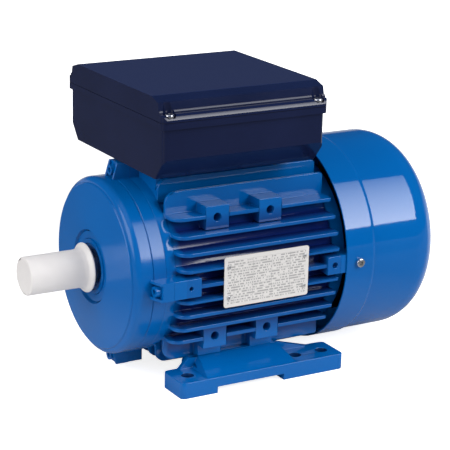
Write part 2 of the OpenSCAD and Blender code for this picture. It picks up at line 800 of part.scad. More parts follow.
module de_shield_screws() {
    color(zinc) around([0, 90, 180, 270]) translate([frame_front + lug_len, lug_screw_r, 0])
        rotate([0, 90, 0]) socket_screw(m5, lug_len + screw_bite);
}

module nde_shield_screws() {
    color(zinc) around([0, 90, 180, 270]) translate([nde_screw_seat, nde_screw_r, 0])
        rotate([0, -90, 0]) socket_screw(m5, frame_back - nde_screw_seat + screw_bite);
}

// Lip seal pressed into the drive-end shield
module shaft_seal() {
    lip_r = collar_r + slide_gap / 2;
    color(rubber) spun([[seal_od / 2, seal_back], [seal_od / 2, seal_front], [seal_od / 2 - 2.5, seal_front],
        [seal_od / 2 - 3.5, seal_front - 1.5], [lip_r + 2, seal_front - 1.5], [lip_r, seal_front - 3],
        [lip_r, seal_front - 4], [lip_r + 2, seal_back]]);
}

// Ball bearing pieces, with the rear face of the bearing at a station
module outer_ring(x) {
    translate([x, 0, axis_h]) rotate([0, 90, 0]) rotate_extrude() difference() {
        translate([pitch_r + land_gap, 0]) square([bearing_od / 2 - pitch_r - land_gap, bearing_w]);
        translate([pitch_r, bearing_w / 2]) circle(race_r);
    }
}

module inner_ring(x) {
    low = bearing_bore / 2 + press_gap;
    translate([x, 0, axis_h]) rotate([0, 90, 0]) rotate_extrude() difference() {
        translate([low, 0]) square([pitch_r - land_gap - low, bearing_w]);
        translate([pitch_r, bearing_w / 2]) circle(race_r);
    }
}

module ball_set(x) {
    for (i = [0:ball_count - 1]) translate([x + bearing_w / 2, 0, axis_h])
        rotate([360 * i / ball_count, 0, 0]) translate([0, pitch_r, 0]) sphere(d = ball_d);
}

module ball_cage(x) {
    cage_half = ball_d * 0.62;
    cage_rim = land_gap - 0.5;
    difference() {
        translate([x + bearing_w / 2 - cage_half, 0, axis_h]) rotate([0, 90, 0]) rotate_extrude()
            translate([pitch_r - cage_rim, 0]) square([2 * cage_rim, 2 * cage_half]);
        for (i = [0:ball_count - 1]) translate([x + bearing_w / 2, 0, axis_h])
            rotate([360 * i / ball_count, 0, 0]) translate([0, pitch_r - 2 * cage_rim, 0])
                rotate([-90, 0, 0]) cylinder(d = ball_d + 2 * slide_gap, h = 4 * cage_rim);
    }
}

module de_bearing_outer() { color(steel) outer_ring(de_bearing_back); }
module de_bearing_inner() { color(steel) inner_ring(de_bearing_back); }
module de_bearing_balls() { color(zinc) ball_set(de_bearing_back); }
module de_bearing_cage() { color(brass) ball_cage(de_bearing_back); }
module nde_bearing_outer() { color(steel) outer_ring(nde_bearing_back); }
module nde_bearing_inner() { color(steel) inner_ring(nde_bearing_back); }
module nde_bearing_balls() { color(zinc) ball_set(nde_bearing_back); }
module nde_bearing_cage() { color(brass) ball_cage(nde_bearing_back); }

// Spring washer behind the fan-end bearing
module preload_washer() {
    color(steel) spun([[pitch_r + land_gap + 0.5, nde_hub_floor], [bearing_od / 2 - 0.3, nde_hub_floor],
        [bearing_od / 2 - 0.3, nde_bearing_back], [pitch_r + land_gap + 0.5, nde_bearing_back]]);
}

// Foot on one side of the motor: side is 1 towards the plate and -1 away from it
foot_y1 = foot_gauge / 2 + foot_outer;
foot_y0 = foot_y1 - foot_w;
foot_x1 = foot_pitch / 2 + foot_nose;
foot_x0 = foot_x1 - foot_l;
foot_hole_xs = [foot_pitch / 2, -foot_pitch / 2, foot_pitch / 2 - foot_pitch_long];
seat_z = axis_h - pad_face;
stand_in = pad_off - pad_h / 2;
stand_x0 = -stand_shift - stand_l / 2;
stand_x1 = -stand_shift + stand_l / 2;
stand_floor = 4;

module stand() {
    pocket = [[stand_in + 4, seat_z - 4], [stand_top - 3, seat_z - 4], [stand_top + 8, foot_t + 1.5],
        [stand_in + 4, foot_t + 1.5]];
    low_x0 = stand_x0 - stand_flare;
    low_x1 = stand_x1 + stand_flare;
    difference() {
        intersection() {
            drawn_x(low_x0, low_x1, [[stand_in, seat_z], [stand_top, seat_z],
                [foot_y1 - stand_ledge, foot_t - 0.01], [foot_y0 + 1, foot_t - stand_floor],
                [stand_in, foot_t - stand_floor]]);
            drawn_y(stand_in - cut, foot_y1, [[stand_x0, seat_z], [stand_x1, seat_z], [low_x1, foot_t],
                [low_x1, 0], [low_x0, 0], [low_x0, foot_t]]);
        }
        drawn_x(stand_x1 - stand_pocket, low_x1 + cut, pocket);
        drawn_x(low_x0 - cut, stand_x0 + stand_pocket, pocket);
    }
    drawn_y(foot_y0, foot_y0 + rib_t, [[stand_x0, seat_z - 0.5], [stand_x1 + rib_front, seat_z - 0.5],
        [stand_x1 + rib_front + rib_slope, foot_t - 0.5], [stand_x0 - rib_tail, foot_t - 0.5]]);
}

module foot(side) {
    mirror([0, side < 0 ? 1 : 0, 0]) difference() {
        union() {
            linear_extrude(foot_t) round_rect([foot_x0, foot_y0], [foot_x1, foot_y1], foot_r);
            stand();
        }
        for (x = foot_hole_xs) rod_z(foot_hole_d, -cut, foot_t + cut, x, foot_gauge / 2);
        block([-relief_l / 2, foot_y0 - cut, -cut], [relief_l / 2, foot_y1 + cut, relief_h]);
        for (x = [-pad_x, pad_x]) {
            rod_z(m8[0] + 1, 0, seat_z + cut, x, pad_off);
            rod_z(m8[1] + 2, -cut, foot_t - stand_floor + 1.5, x, pad_off);
        }
    }
}

module left_foot() { color(paint_blue) foot(1); }
module right_foot() { color(paint_blue) foot(-1); }

module foot_screws() {
    seat = foot_t - stand_floor + 1.5;
    color(zinc) for (x = [-pad_x, pad_x], y = [-pad_off, pad_off])
        translate([x, y, seat]) rotate([180, 0, 0]) socket_screw(m8, seat_z - seat + pad_hole_depth - 2);
}

// Sheet steel cowl with a slotted grille in its rear face
module cowl_outline(r, band_r, x1, back, round_r) {
    polygon([[0, back], [r - round_r, back], [r, back + round_r], [r, cowl_front - cowl_band - 0.8],
        [band_r, cowl_front - cowl_band], [band_r, x1], [0, x1]]);
    translate([r - round_r, back + round_r]) circle(round_r);
}

module fan_cowl() {
    rear_r = cowl_r - cowl_step / 2;
    ring_step = grille_slot + grille_bar;
    rings = floor((rear_r - cowl_round - 1 - grille_hub_d / 2) / ring_step);
    spoke_w = grille_bar + 1;
    color(paint_blue) difference() {
        translate([0, 0, axis_h]) rotate([0, 90, 0]) rotate_extrude() difference() {
            cowl_outline(rear_r, cowl_r, cowl_front, cowl_back, cowl_round);
            cowl_outline(rear_r - cowl_t, cowl_inner_r, cowl_front + cut, cowl_back + cowl_t,
                cowl_round - cowl_t);
            translate([-rear_r, cowl_back - cut]) square([rear_r, cowl_len + 3]);
        }
        difference() {
            for (i = [0:rings - 1]) let (r = grille_hub_d / 2 + i * ring_step)
                translate([cowl_back - cut, 0, axis_h]) rotate([0, 90, 0]) difference() {
                    cylinder(r = r + grille_slot, h = cowl_t + 2 * cut);
                    translate([0, 0, -cut]) cylinder(r = r, h = cowl_t + 4 * cut);
                }
            for (i = [0:grille_spokes - 1]) around([360 * i / grille_spokes])
                block([cowl_back - 2 * cut, 0, -spoke_w / 2],
                    [cowl_back + cowl_t + 2 * cut, cowl_r, spoke_w / 2]);
        }
        around([0, 90, 180, 270]) translate([cowl_screw_x, cowl_inner_r - 2, 0]) rotate([-90, 0, 0])
            cylinder(d = m4[0] + 2 * screw_gap, h = cowl_t + 4);
    }
}

module cowl_screws() {
    color(zinc) around([0, 90, 180, 270]) translate([cowl_screw_x, cowl_r, 0])
        rotate([-90, 0, 0]) cross_screw(m4, cowl_screw_l + cowl_t);
}

// Rating plate on the flat tips of the middle fins, held by four rivets
rivet_d = 2;
rivet_head_d = 3.6;
rivet_in = 4;
rivet_bite = 4;
plate_rivet_xs = [-plate_shift - plate_l / 2 + rivet_in, -plate_shift + plate_l / 2 - rivet_in];

module rating_plate() {
    color(aluminium) translate([0, 0, axis_h]) rotate([-90, 0, 0]) translate([0, 0, plate_face])
        linear_extrude(plate_t) difference() {
            round_rect([-plate_shift - plate_l / 2, -plate_h / 2],
                [-plate_shift + plate_l / 2, plate_h / 2], 2);
            for (x = plate_rivet_xs, z = [-fin_pitch, fin_pitch]) translate([x, z])
                circle(d = rivet_d + 2 * screw_gap);
        }
}

module plate_rivets() {
    color(aluminium) around([0]) for (x = plate_rivet_xs, z = [-fin_pitch, fin_pitch])
        translate([x, plate_face + plate_t, z]) rotate([-90, 0, 0]) {
            cylinder(d1 = rivet_head_d, d2 = rivet_d, h = 0.8);
            translate([0, 0, -plate_t - rivet_bite]) cylinder(d = rivet_d, h = plate_t + rivet_bite);
        }
}

// Earth terminal on a boss of the box floor
earth_x = -46;
earth_y = -57;
earth_boss_d = 11;
earth_boss_h = 5;
earth_bite = 6;

module earth_screw() {
    color(brass) translate([earth_x, earth_y, box_inside + earth_boss_h]) cross_screw(pan5, earth_bite);
}

// Flat gasket between the neck and the terminal box
module neck_gasket() {
    color(rubber) translate([0, 0, neck_top]) linear_extrude(neck_gasket_t) difference() {
        round_rect([-neck_rear, -neck_half], [neck_front, neck_half], 3);
        circle(d = wire_way_d);
        for (x = neck_screw_xs, y = [-neck_screw_y, neck_screw_y]) translate([x, y])
            circle(d = m5[0] + 2 * screw_gap);
    }
}

// Outer form of the box base below its rim, drawn in by a margin
module base_form(margin) {
    low = box_floor + (margin > 0 ? floor_t : 0);
    y1 = wall_half - margin;
    lean = slope_w / slope_h;
    bottom = y1 - slope_w + lean * (low - box_floor);
    intersection() {
        drawn_x(box_x0, box_x1, [[-bottom, low], [bottom, low], [y1, box_floor + slope_h],
            [y1, base_top + (margin > 0 ? cut : 0)], [-y1, base_top + (margin > 0 ? cut : 0)],
            [-y1, box_floor + slope_h]]);
        translate([0, 0, box_floor]) linear_extrude(box_base_h + cut) round_rect(
            [box_x0 + rim_over + margin, -y1], [box_x1 - rim_over - margin, y1],
            max(box_r - margin, 0.5));
    }
}

module terminal_box_base() {
    color(box_black) difference() {
        union() {
            difference() {
                union() {
                    base_form(0);
                    translate([0, 0, base_top - rim_h]) linear_extrude(rim_h)
                        round_rect([box_x0, -box_half], [box_x1, box_half], box_r);
                }
                base_form(box_wall);
            }
            intersection() {
                base_form(0);
                for (x = lid_screw_xs, y = [-lid_screw_y, lid_screw_y])
                    rod_z(lid_boss_d, box_floor, base_top, x, y);
            }
            rod_z(earth_boss_d, box_floor, box_inside + earth_boss_h, earth_x, earth_y);
        }
        rod_z(m5[0] + 2 * screw_gap, box_inside + earth_boss_h - earth_bite - screw_hole_end,
            box_inside + earth_boss_h + cut, earth_x, earth_y);
        rod_z(wire_way_d, box_floor - cut, box_inside + cut, 0, 0);
        for (x = neck_screw_xs, y = [-neck_screw_y, neck_screw_y])
            rod_z(m5[0] + 2 * screw_gap, box_floor - cut, box_inside + cut, x, y);
        for (x = lid_screw_xs, y = [-lid_screw_y, lid_screw_y])
            rod_z(m4[0] + 2 * screw_gap, base_top - lid_screw_bite - screw_hole_end, base_top + cut, x, y);
        rod_y(gland_d + 2 * screw_gap, -wall_half - cut, -wall_half + box_wall + cut, gland_x, gland_z);
    }
}

module box_screws() {
    color(zinc) for (x = neck_screw_xs, y = [-neck_screw_y, neck_screw_y])
        translate([x, y, box_inside]) cross_screw(pan5, floor_t + neck_gasket_t + screw_bite);
}

// Moulded terminal block with six studs between its ribs
module terminal_block() {
    rib_h = 6;
    color(black_plastic) difference() {
        union() {
            block([-block_l / 2, block_y - block_w / 2, box_inside],
                [block_l / 2, block_y + block_w / 2, box_inside + block_h]);
            for (i = [-1.5:1:1.5]) block([i * stud_pitch - 1.5, block_y - block_w / 2, box_inside + block_h],
                [i * stud_pitch + 1.5, block_y + block_w / 2, box_inside + block_h + rib_h]);
        }
        for (i = [-1:1], j = [-0.5, 0.5])
            rod_z(m4[0] + 2 * screw_gap, box_inside + 3, box_inside + block_h + cut, i * stud_pitch,
                block_y + j * stud_row);
    }
}

module terminal_studs() {
    link_t = 1;
    nut_h = 3.2;
    color(brass) for (i = [-1:1], j = [-0.5, 0.5])
        translate([i * stud_pitch, block_y + j * stud_row, box_inside + 3]) {
            cylinder(d = m4[0], h = block_h - 3 + link_t + nut_h + 5);
            translate([0, 0, block_h - 3 + link_t]) cylinder(d = 8, h = nut_h, $fn = 6);
        }
}

// Flat straps that join each pair of studs
module terminal_links() {
    link_t = 1;
    link_w = 9;
    color(brass) for (i = [-1:1]) translate([i * stud_pitch, block_y, box_inside + block_h])
        linear_extrude(link_t) difference() {
            round_rect([-link_w / 2, -stud_row / 2 - link_w / 2], [link_w / 2, stud_row / 2 + link_w / 2], 3);
            for (j = [-0.5, 0.5]) translate([0, j * stud_row]) circle(d = m4[0] + 2 * screw_gap);
        }
}

// Can of a capacitor along the shaft, with a raised terminal disc at one end
module capacitor(d, l, y, z) {
    disc_l = 4;
    disc_step = 3;
    tab = [8, 6, 0.8];
    end = box_shift + l / 2;
    rod_x(d, box_shift - l / 2, end - disc_l, y, z);
    rod_x(d - 2 * disc_step, end - disc_l, end, y, z);
    for (j = [-1, 1])
        block([end, y + (j - 0.5) * tab.y, z - tab.z / 2], [end + tab.x, y + (j + 0.5) * tab.y, z + tab.z / 2]);
}

module start_capacitor() {
    color(black_plastic) capacitor(start_cap_d, start_cap_l, start_cap_y, start_cap_z);
}

module run_capacitor() {
    color(aluminium) capacitor(run_cap_d, run_cap_l, run_cap_y, run_cap_z);
}

// Strap round a capacitor with a foot on the floor of the box
module strap(d, x, y, z) {
    hole = d + 2 * seat_gap;
    foot_half = 8;
    difference() {
        union() {
            rod_x(hole + 2 * cap_strap_t, x - cap_strap_w / 2, x + cap_strap_w / 2, y, z);
            block([x - cap_strap_w / 2, y - foot_half, box_inside], [x + cap_strap_w / 2, y + foot_half, z]);
        }
        rod_x(hole, x - cap_strap_w, x + cap_strap_w, y, z);
    }
}

module capacitor_clamps() {
    color(steel) for (i = [-1, 1]) {
        strap(start_cap_d, box_shift + i * start_cap_l * 0.28, start_cap_y, start_cap_z);
        strap(run_cap_d, box_shift + i * run_cap_l * 0.28, run_cap_y, run_cap_z);
    }
}

// Cable gland through the rear long wall of the box
gland_out = -wall_half - gland_flange_t;
gland_cap_front = gland_out - gland_cap_l;
gland_thread_in = -wall_half + box_wall + gland_nut_t + 3;
gland_seat_d = 14;

module gland_hexagon(across, y0, y1) {
    translate([gland_x, y0, gland_z]) rotate([-90, 0, 0])
        cylinder(d = across / cos(30), h = y1 - y0, $fn = 6);
}

module gland_body() {
    color(black_plastic) difference() {
        union() {
            gland_hexagon(gland_hex, gland_out, -wall_half);
            rod_y(gland_d, -wall_half, gland_thread_in, gland_x, gland_z);
            rod_y(gland_d - 2, gland_cap_front + 5, gland_out, gland_x, gland_z);
        }
        rod_y(gland_bore_d, gland_out, gland_thread_in + cut, gland_x, gland_z);
        rod_y(gland_seat_d, gland_cap_front, gland_out, gland_x, gland_z);
    }
}

module gland_locknut() {
    color(black_plastic) difference() {
        gland_hexagon(gland_hex, -wall_half + box_wall, -wall_half + box_wall + gland_nut_t);
        rod_y(gland_d + 2 * screw_gap, -wall_half, gland_thread_in, gland_x, gland_z);
    }
}

module gland_cap() {
    dome = 5;
    color(black_plastic) difference() {
        union() {
            gland_hexagon(gland_hex, gland_cap_front + dome, gland_out);
            translate([gland_x, gland_cap_front, gland_z]) rotate([-90, 0, 0])
                cylinder(d1 = gland_d - 4, d2 = gland_hex, h = dome);
        }
        rod_y(gland_d - 2 + 2 * screw_gap, gland_cap_front + 4.5, gland_out + cut, gland_x, gland_z);
        rod_y(gland_bore_d, gland_cap_front - cut, gland_out, gland_x, gland_z);
    }
}

module gland_seal() {
    color(rubber) difference() {
        rod_y(gland_seat_d - 2 * seat_gap, gland_cap_front + 4.5 + seat_gap, gland_out, gland_x, gland_z);
        rod_y(gland_bore_d - 3, gland_cap_front, gland_out + cut, gland_x, gland_z);
    }
}

// Thin gasket on the rim of the box
module lid_gasket() {
    inset = rim_over + box_wall;
    color(rubber) translate([0, 0, base_top]) linear_extrude(lid_gasket_t) difference() {
        round_rect([box_x0 + 0.8, -box_half + 0.8], [box_x1 - 0.8, box_half - 0.8], box_r);
        round_rect([box_x0 + inset, -box_half + inset], [box_x1 - inset, box_half - inset], 1);
        for (x = lid_screw_xs, y = [-lid_screw_y, lid_screw_y]) translate([x, y]) circle(d = m4[0] + 1);
    }
}

// Lid with a round-edged ledge along its long sides and its screws sunk in the corners
module lid_form() {
    bead_h = 1;
    bead_w = 0.7;
    y1 = box_half - lid_ledge + 1.9;
    y2 = box_half - lid_ledge;
    y3 = y2 - 1.4;
    y4 = y3 - lid_bevel_w;
    bead_z = ledge_z + ledge_step;
    outer = [[box_half, lid_floor], [box_half, ledge_z - ledge_r], [box_half - ledge_r, ledge_z],
        [y1, ledge_z], [y1, bead_z - bead_h], [y1 - bead_w, bead_z], [y2, bead_z],
        [y3, lid_top - lid_bevel_h], [y4, lid_top]];
    translate([box_x0, 0, 0]) rotate([90, 0, 90]) linear_extrude(box_l) {
        polygon(concat(outer, [for (i = [len(outer) - 1:-1:0]) [-outer[i][0], outer[i][1]]]));
        for (j = [-1, 1]) translate([j * (box_half - ledge_r), ledge_z - ledge_r]) circle(ledge_r);
    }
}

module terminal_box_lid() {
    in_y = box_half - lid_ledge - 1.4 - box_wall;
    pocket_d = m4[1] + 2.4;
    color(box_black) difference() {
        intersection() {
            lid_form();
            translate([0, 0, lid_floor]) linear_extrude(lid_h + cut)
                round_rect([box_x0, -box_half], [box_x1, box_half], box_r);
        }
        drawn_x(box_x0 + box_wall, box_x1 - box_wall, [[-in_y, lid_floor - cut], [in_y, lid_floor - cut],
            [in_y, lid_top - lid_bevel_h - box_wall * 0.7], [in_y - lid_bevel_w, lid_top - box_wall],
            [lid_bevel_w - in_y, lid_top - box_wall], [-in_y, lid_top - lid_bevel_h - box_wall * 0.7]]);
        for (x = lid_screw_xs, y = [-lid_screw_y, lid_screw_y]) {
            rod_z(m4[0] + 2 * screw_gap, lid_floor - cut, lid_top, x, y);
            rod_z(pocket_d, lid_pocket_z, lid_top + cut, x, y);
        }
    }
}

module lid_screws() {
    color(zinc) for (x = lid_screw_xs, y = [-lid_screw_y, lid_screw_y])
        translate([x, y, lid_pocket_z]) cross_screw(m4, lid_pocket_z - base_top + lid_screw_bite);
}

// Fixed half of the centrifugal switch: a board on two posts at the fan-end shield
leaf_t = 0.6;
leaf_w = 7;
leaf_gap = 0.4;
switch_x = spool_x0 - leaf_gap - leaf_t;
switch_board_t = 1.6;
switch_half_y = 24;
switch_half_z = 7;

module switch_plate() {
    color(board_brown) difference() {
        union() {
            block([switch_x - switch_board_t, -switch_half_y, switch_z - switch_half_z],
                [switch_x, switch_half_y, switch_z + switch_half_z]);
            for (y = [-switch_post_y, switch_post_y])
                rod_x(m3[0] + 4, nde_web_front, switch_x - switch_board_t, y, switch_z);
        }
        for (y = [-switch_post_y, switch_post_y])
            rod_x(m3[0] + 2 * screw_gap, nde_web_front - cut, switch_x + cut, y, switch_z);
    }
}

// Contact spring that the switch collar presses
module switch_contacts() {
    color(brass) block([switch_x, -leaf_w / 2, axis_h + core_shaft_d / 2 + 2],
        [switch_x + leaf_t, leaf_w / 2, switch_z + switch_half_z - 2]);
}

// Stepped shaft with an open keyway and a groove for the fan's circlip
module shaft() {
    r_end = shaft_d / 2;
    r_core = core_shaft_d / 2;
    r_fan = fan_shaft_d / 2;
    r_groove = r_fan - 1;
    key_x1 = shaft_tip - 5 - key_w / 2;
    key_x0 = key_x1 - key_len + key_w;
    color(steel) difference() {
        spun([[0, shaft_back], [r_fan - shaft_chamfer, shaft_back], [r_fan, shaft_back + shaft_chamfer],
            [r_fan, fan_end - circlip_t - 0.1], [r_groove, fan_end - circlip_t - 0.1], [r_groove, fan_end],
            [r_fan, fan_end], [r_fan, fan_seat], [collar_r, fan_seat], [collar_r, nde_bearing_front],
            [r_core, nde_bearing_front], [r_core, de_bearing_back], [collar_r, de_bearing_back],
            [collar_r, shoulder_x], [r_end, shoulder_x], [r_end, shaft_tip - shaft_chamfer],
            [r_end - shaft_chamfer, shaft_tip], [0, shaft_tip]]);
        translate([0, 0, axis_h]) rotate([key_angle, 0, 0]) translate([0, 0, r_end - key_depth])
            linear_extrude(key_depth + cut) {
                translate([key_x0, -key_w / 2]) square([key_x1 - key_x0, key_w]);
                for (x = [key_x0, key_x1]) translate([x, 0]) circle(d = key_w);
            }
    }
}

// Rotor stack with closed round slots
bar_r = rotor_r - bar_d / 2 - 1.2;

module rotor_core() {
    color(iron) translate([core_back, 0, axis_h]) rotate([90, 0, 90]) linear_extrude(core_l) difference() {
        circle(rotor_r);
        circle(d = core_shaft_d + 2 * press_gap);
        for (i = [0:bar_count - 1]) rotate(360 * i / bar_count) translate([bar_r, 0])
            circle(d = bar_d + 2 * press_gap);
    }
}

// Cast cage: the bars in the slots and an end ring on each side
module rotor_cage() {
    color(aluminium) {
        for (i = [0:bar_count - 1]) translate([core_back, 0, axis_h]) rotate([360 * i / bar_count, 0, 0])
            translate([0, bar_r, 0]) rotate([0, 90, 0]) cylinder(d = bar_d, h = core_l);
        for (x = [core_front, core_back - end_ring_l]) translate([x, 0, axis_h]) rotate([0, 90, 0])
            rotate_extrude() translate([bar_r - bar_d / 2 - 6, 0])
                square([bar_d + 6.8, end_ring_l]);
    }
}

// Fan that blows the same in both directions: straight blades on a disc
module fan() {
    disc_x = fan_seat - 8;
    blade_r = fan_d / 2;
    blade_tip = blade_l * 0.72;
    root_r = fan_hub_d / 2 - 1;
    color(black_plastic) {
        spun([[fan_shaft_d / 2 + press_gap, fan_end], [fan_hub_d / 2, fan_end],
            [fan_hub_d / 2, disc_x - blade_t],
            [blade_r - 6, disc_x - blade_t], [blade_r - 6, disc_x], [fan_hub_d / 2, disc_x],
            [fan_hub_d / 2, fan_seat], [fan_shaft_d / 2 + press_gap, fan_seat]]);
        for (i = [0:fan_blades - 1]) around([360 * i / fan_blades]) translate([0, 0, -blade_t / 2])
            linear_extrude(blade_t) polygon([[disc_x - blade_t / 2, root_r], [disc_x - blade_t / 2, blade_r],
                [disc_x - blade_t - blade_tip, blade_r], [disc_x - blade_t - blade_l, blade_r * 0.6],
                [disc_x - blade_t - blade_l, root_r]]);
    }
}

// Split ring in the groove behind the fan
module fan_circlip() {
    ring_in = fan_shaft_d / 2 - 1 + press_gap;
    color(steel) difference() {
        spun([[ring_in, fan_end - circlip_t], [ring_in + 3.5, fan_end - circlip_t], [ring_in + 3.5, fan_end],
            [ring_in, fan_end]]);
        around([90]) block([fan_end - circlip_t - cut, 0, -2], [fan_end + cut, fan_shaft_d, 2]);
    }
}

// Rotating half of the centrifugal switch: plate with ears and pivot pins
module governor_base() {
    ear_t = 2;
    ear_in = gov_weight_w / 2 + slide_gap;
    color(steel) {
        spun([[core_shaft_d / 2 + press_gap, gov_front - gov_hub_l],
            [core_shaft_d / 2 + 4, gov_front - gov_hub_l],
            [core_shaft_d / 2 + 4, gov_front - gov_plate_t], [gov_pin_r + 3, gov_front - gov_plate_t],
            [gov_pin_r + 3, gov_front], [core_shaft_d / 2 + press_gap, gov_front]]);
        around([90, 270]) {
            for (z = [ear_in, -ear_in - ear_t]) translate([0, 0, z]) linear_extrude(ear_t) {
                translate([gov_pin_x, gov_pin_r - 3]) square([gov_front - gov_pin_x, 6]);
                translate([gov_pin_x, gov_pin_r]) circle(3);
            }
            translate([gov_pin_x, gov_pin_r, -ear_in - ear_t])
                cylinder(d = gov_pin_d, h = 2 * (ear_in + ear_t));
        }
    }
}

// Collar that slides on the shaft and carries the groove for the levers
module governor_spool() {
    bore = core_shaft_d / 2 + slide_gap / 2;
    color(black_plastic) spun([[bore, spool_x0], [spool_r, spool_x0], [spool_r, spool_x0 + spool_flange_t],
        [spool_neck_r, spool_x0 + spool_flange_t], [spool_neck_r, spool_x0 + spool_l - spool_flange_t],
        [spool_r, spool_x0 + spool_l - spool_flange_t], [spool_r, spool_x0 + spool_l],
        [bore, spool_x0 + spool_l]]);
}

// Lever with a flyweight: its finger stands in the groove of the collar
module governor_weight(angle) {
    finger = spool_groove - 1.8;
    eye_r = gov_pin_d / 2 + 1.8;
    color(steel) around([angle]) translate([gov_pin_x, gov_pin_r, 0]) difference() {
        union() {
            translate([0, 0, -gov_weight_w / 2]) cylinder(r = eye_r, h = gov_weight_w);
            block([-finger / 2, -gov_arm_l, -3], [finger / 2, 0, 3]);
            block([0, -eye_r, -gov_weight_w / 2], [gov_weight_l, eye_r, gov_weight_w / 2]);
        }
        translate([0, 0, -gov_weight_w]) cylinder(d = gov_pin_d + 2 * slide_gap, h = 2 * gov_weight_w);
    }
}

module governor_weight_top() { governor_weight(90); }
module governor_weight_bottom() { governor_weight(270); }

// Plastic sleeve over the shaft end, closed in front and held on the collar behind the shoulder
module shaft_sleeve() {
    grip_l = 2.2;
    r_out = sleeve_d / 2;
    r_in = sleeve_bore_d / 2;
    r_grip = collar_r + slide_gap;
    back = shoulder_x - grip_l - 0.3;
    rim_x = shoulder_x - 0.4;
    flare = 5.6;
    inner_end = shaft_tip + 1;
    color(white_plastic) spun([[r_grip, back], [r_in + 1.2, back], [r_in + 1.2, rim_x],
        [sleeve_flange_d / 2, rim_x], [sleeve_flange_d / 2, rim_x + 1.2],
        [r_out + 1.2, rim_x + flare * 0.72], [r_out, rim_x + flare + 2],
        [r_out, inner_end + sleeve_end_t - 0.8],
        [r_out - 0.8, inner_end + sleeve_end_t], [0, inner_end + sleeve_end_t], [0, inner_end],
        [r_in, inner_end], [r_in, back + grip_l], [r_grip, back + grip_l]]);
}

stator_frame();
stator_core();
stator_windings();
de_end_shield();
nde_end_shield();
de_shield_screws();
nde_shield_screws();
shaft_seal();
de_bearing_outer();
nde_bearing_outer();
preload_washer();
left_foot();
right_foot();
foot_screws();
fan_cowl();
cowl_screws();
rating_plate();
plate_rivets();
earth_screw();
neck_gasket();
terminal_box_base();
box_screws();
terminal_block();
terminal_studs();
terminal_links();
start_capacitor();
run_capacitor();
capacitor_clamps();
gland_body();
gland_locknut();
gland_cap();
gland_seal();
lid_gasket();
terminal_box_lid();
lid_screws();
switch_plate();
switch_contacts();
shaft();
rotor_core();
rotor_cage();
de_bearing_inner();
nde_bearing_inner();
fan();
fan_circlip();
governor_base();
governor_spool();
governor_weight_top();
governor_weight_bottom();
de_bearing_balls();
de_bearing_cage();
nde_bearing_balls();
nde_bearing_cage();
shaft_sleeve();
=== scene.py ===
# Foot-mounted fan-cooled electric motor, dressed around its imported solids.
import math

import bpy
from mathutils import Matrix, Vector


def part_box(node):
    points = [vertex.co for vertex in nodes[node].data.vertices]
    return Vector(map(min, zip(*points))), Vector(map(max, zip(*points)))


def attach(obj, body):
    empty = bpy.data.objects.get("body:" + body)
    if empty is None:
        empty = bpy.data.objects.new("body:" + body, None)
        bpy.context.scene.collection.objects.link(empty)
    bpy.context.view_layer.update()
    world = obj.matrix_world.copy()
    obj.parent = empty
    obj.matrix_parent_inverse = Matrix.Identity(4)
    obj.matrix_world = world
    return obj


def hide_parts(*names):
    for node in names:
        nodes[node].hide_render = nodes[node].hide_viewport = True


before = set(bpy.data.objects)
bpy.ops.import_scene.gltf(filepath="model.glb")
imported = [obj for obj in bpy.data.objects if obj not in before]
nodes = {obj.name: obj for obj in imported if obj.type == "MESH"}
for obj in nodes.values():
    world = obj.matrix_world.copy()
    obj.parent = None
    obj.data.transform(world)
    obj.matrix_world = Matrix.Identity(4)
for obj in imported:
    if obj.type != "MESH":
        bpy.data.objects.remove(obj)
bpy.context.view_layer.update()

bpy.ops.object.select_all(action="DESELECT")

# Stage
# The motor stands on a white sheet in front of a low pale backdrop, in a dark studio. A tall
# softbox that fades to its top draws the pale band along the round surfaces, one hangs overhead
# and one lights the shaft end. The sheet beyond the fan end shows white in the paint's gloss.
CAMERA_PLACE = Vector((0.6712, 1.1839, 0.5227))
CAMERA_LOOK = Vector((-0.4837, -0.8261, -0.2892)).normalized()
CAMERA_ROLL = math.radians(1.365)
CAMERA_LENS_MM = 138.95
SENSOR_MM = 36
CAMERA_REACH = 20
level_right = CAMERA_LOOK.cross(Vector((0, 0, 1))).normalized()
level_up = level_right.cross(CAMERA_LOOK)
camera_right = level_right * math.cos(CAMERA_ROLL) + level_up * math.sin(CAMERA_ROLL)
camera_up = camera_right.cross(CAMERA_LOOK)
bpy.ops.object.camera_add(location=CAMERA_PLACE)
camera = bpy.context.object
camera.matrix_world = Matrix.Translation(CAMERA_PLACE) @ Matrix(
    (camera_right, camera_up, -CAMERA_LOOK)).transposed().to_4x4()
camera.data.lens = CAMERA_LENS_MM
camera.data.sensor_width = SENSOR_MM
camera.data.clip_end = CAMERA_REACH
bpy.context.scene.camera = camera
bpy.context.scene.view_settings.view_transform = "Standard"


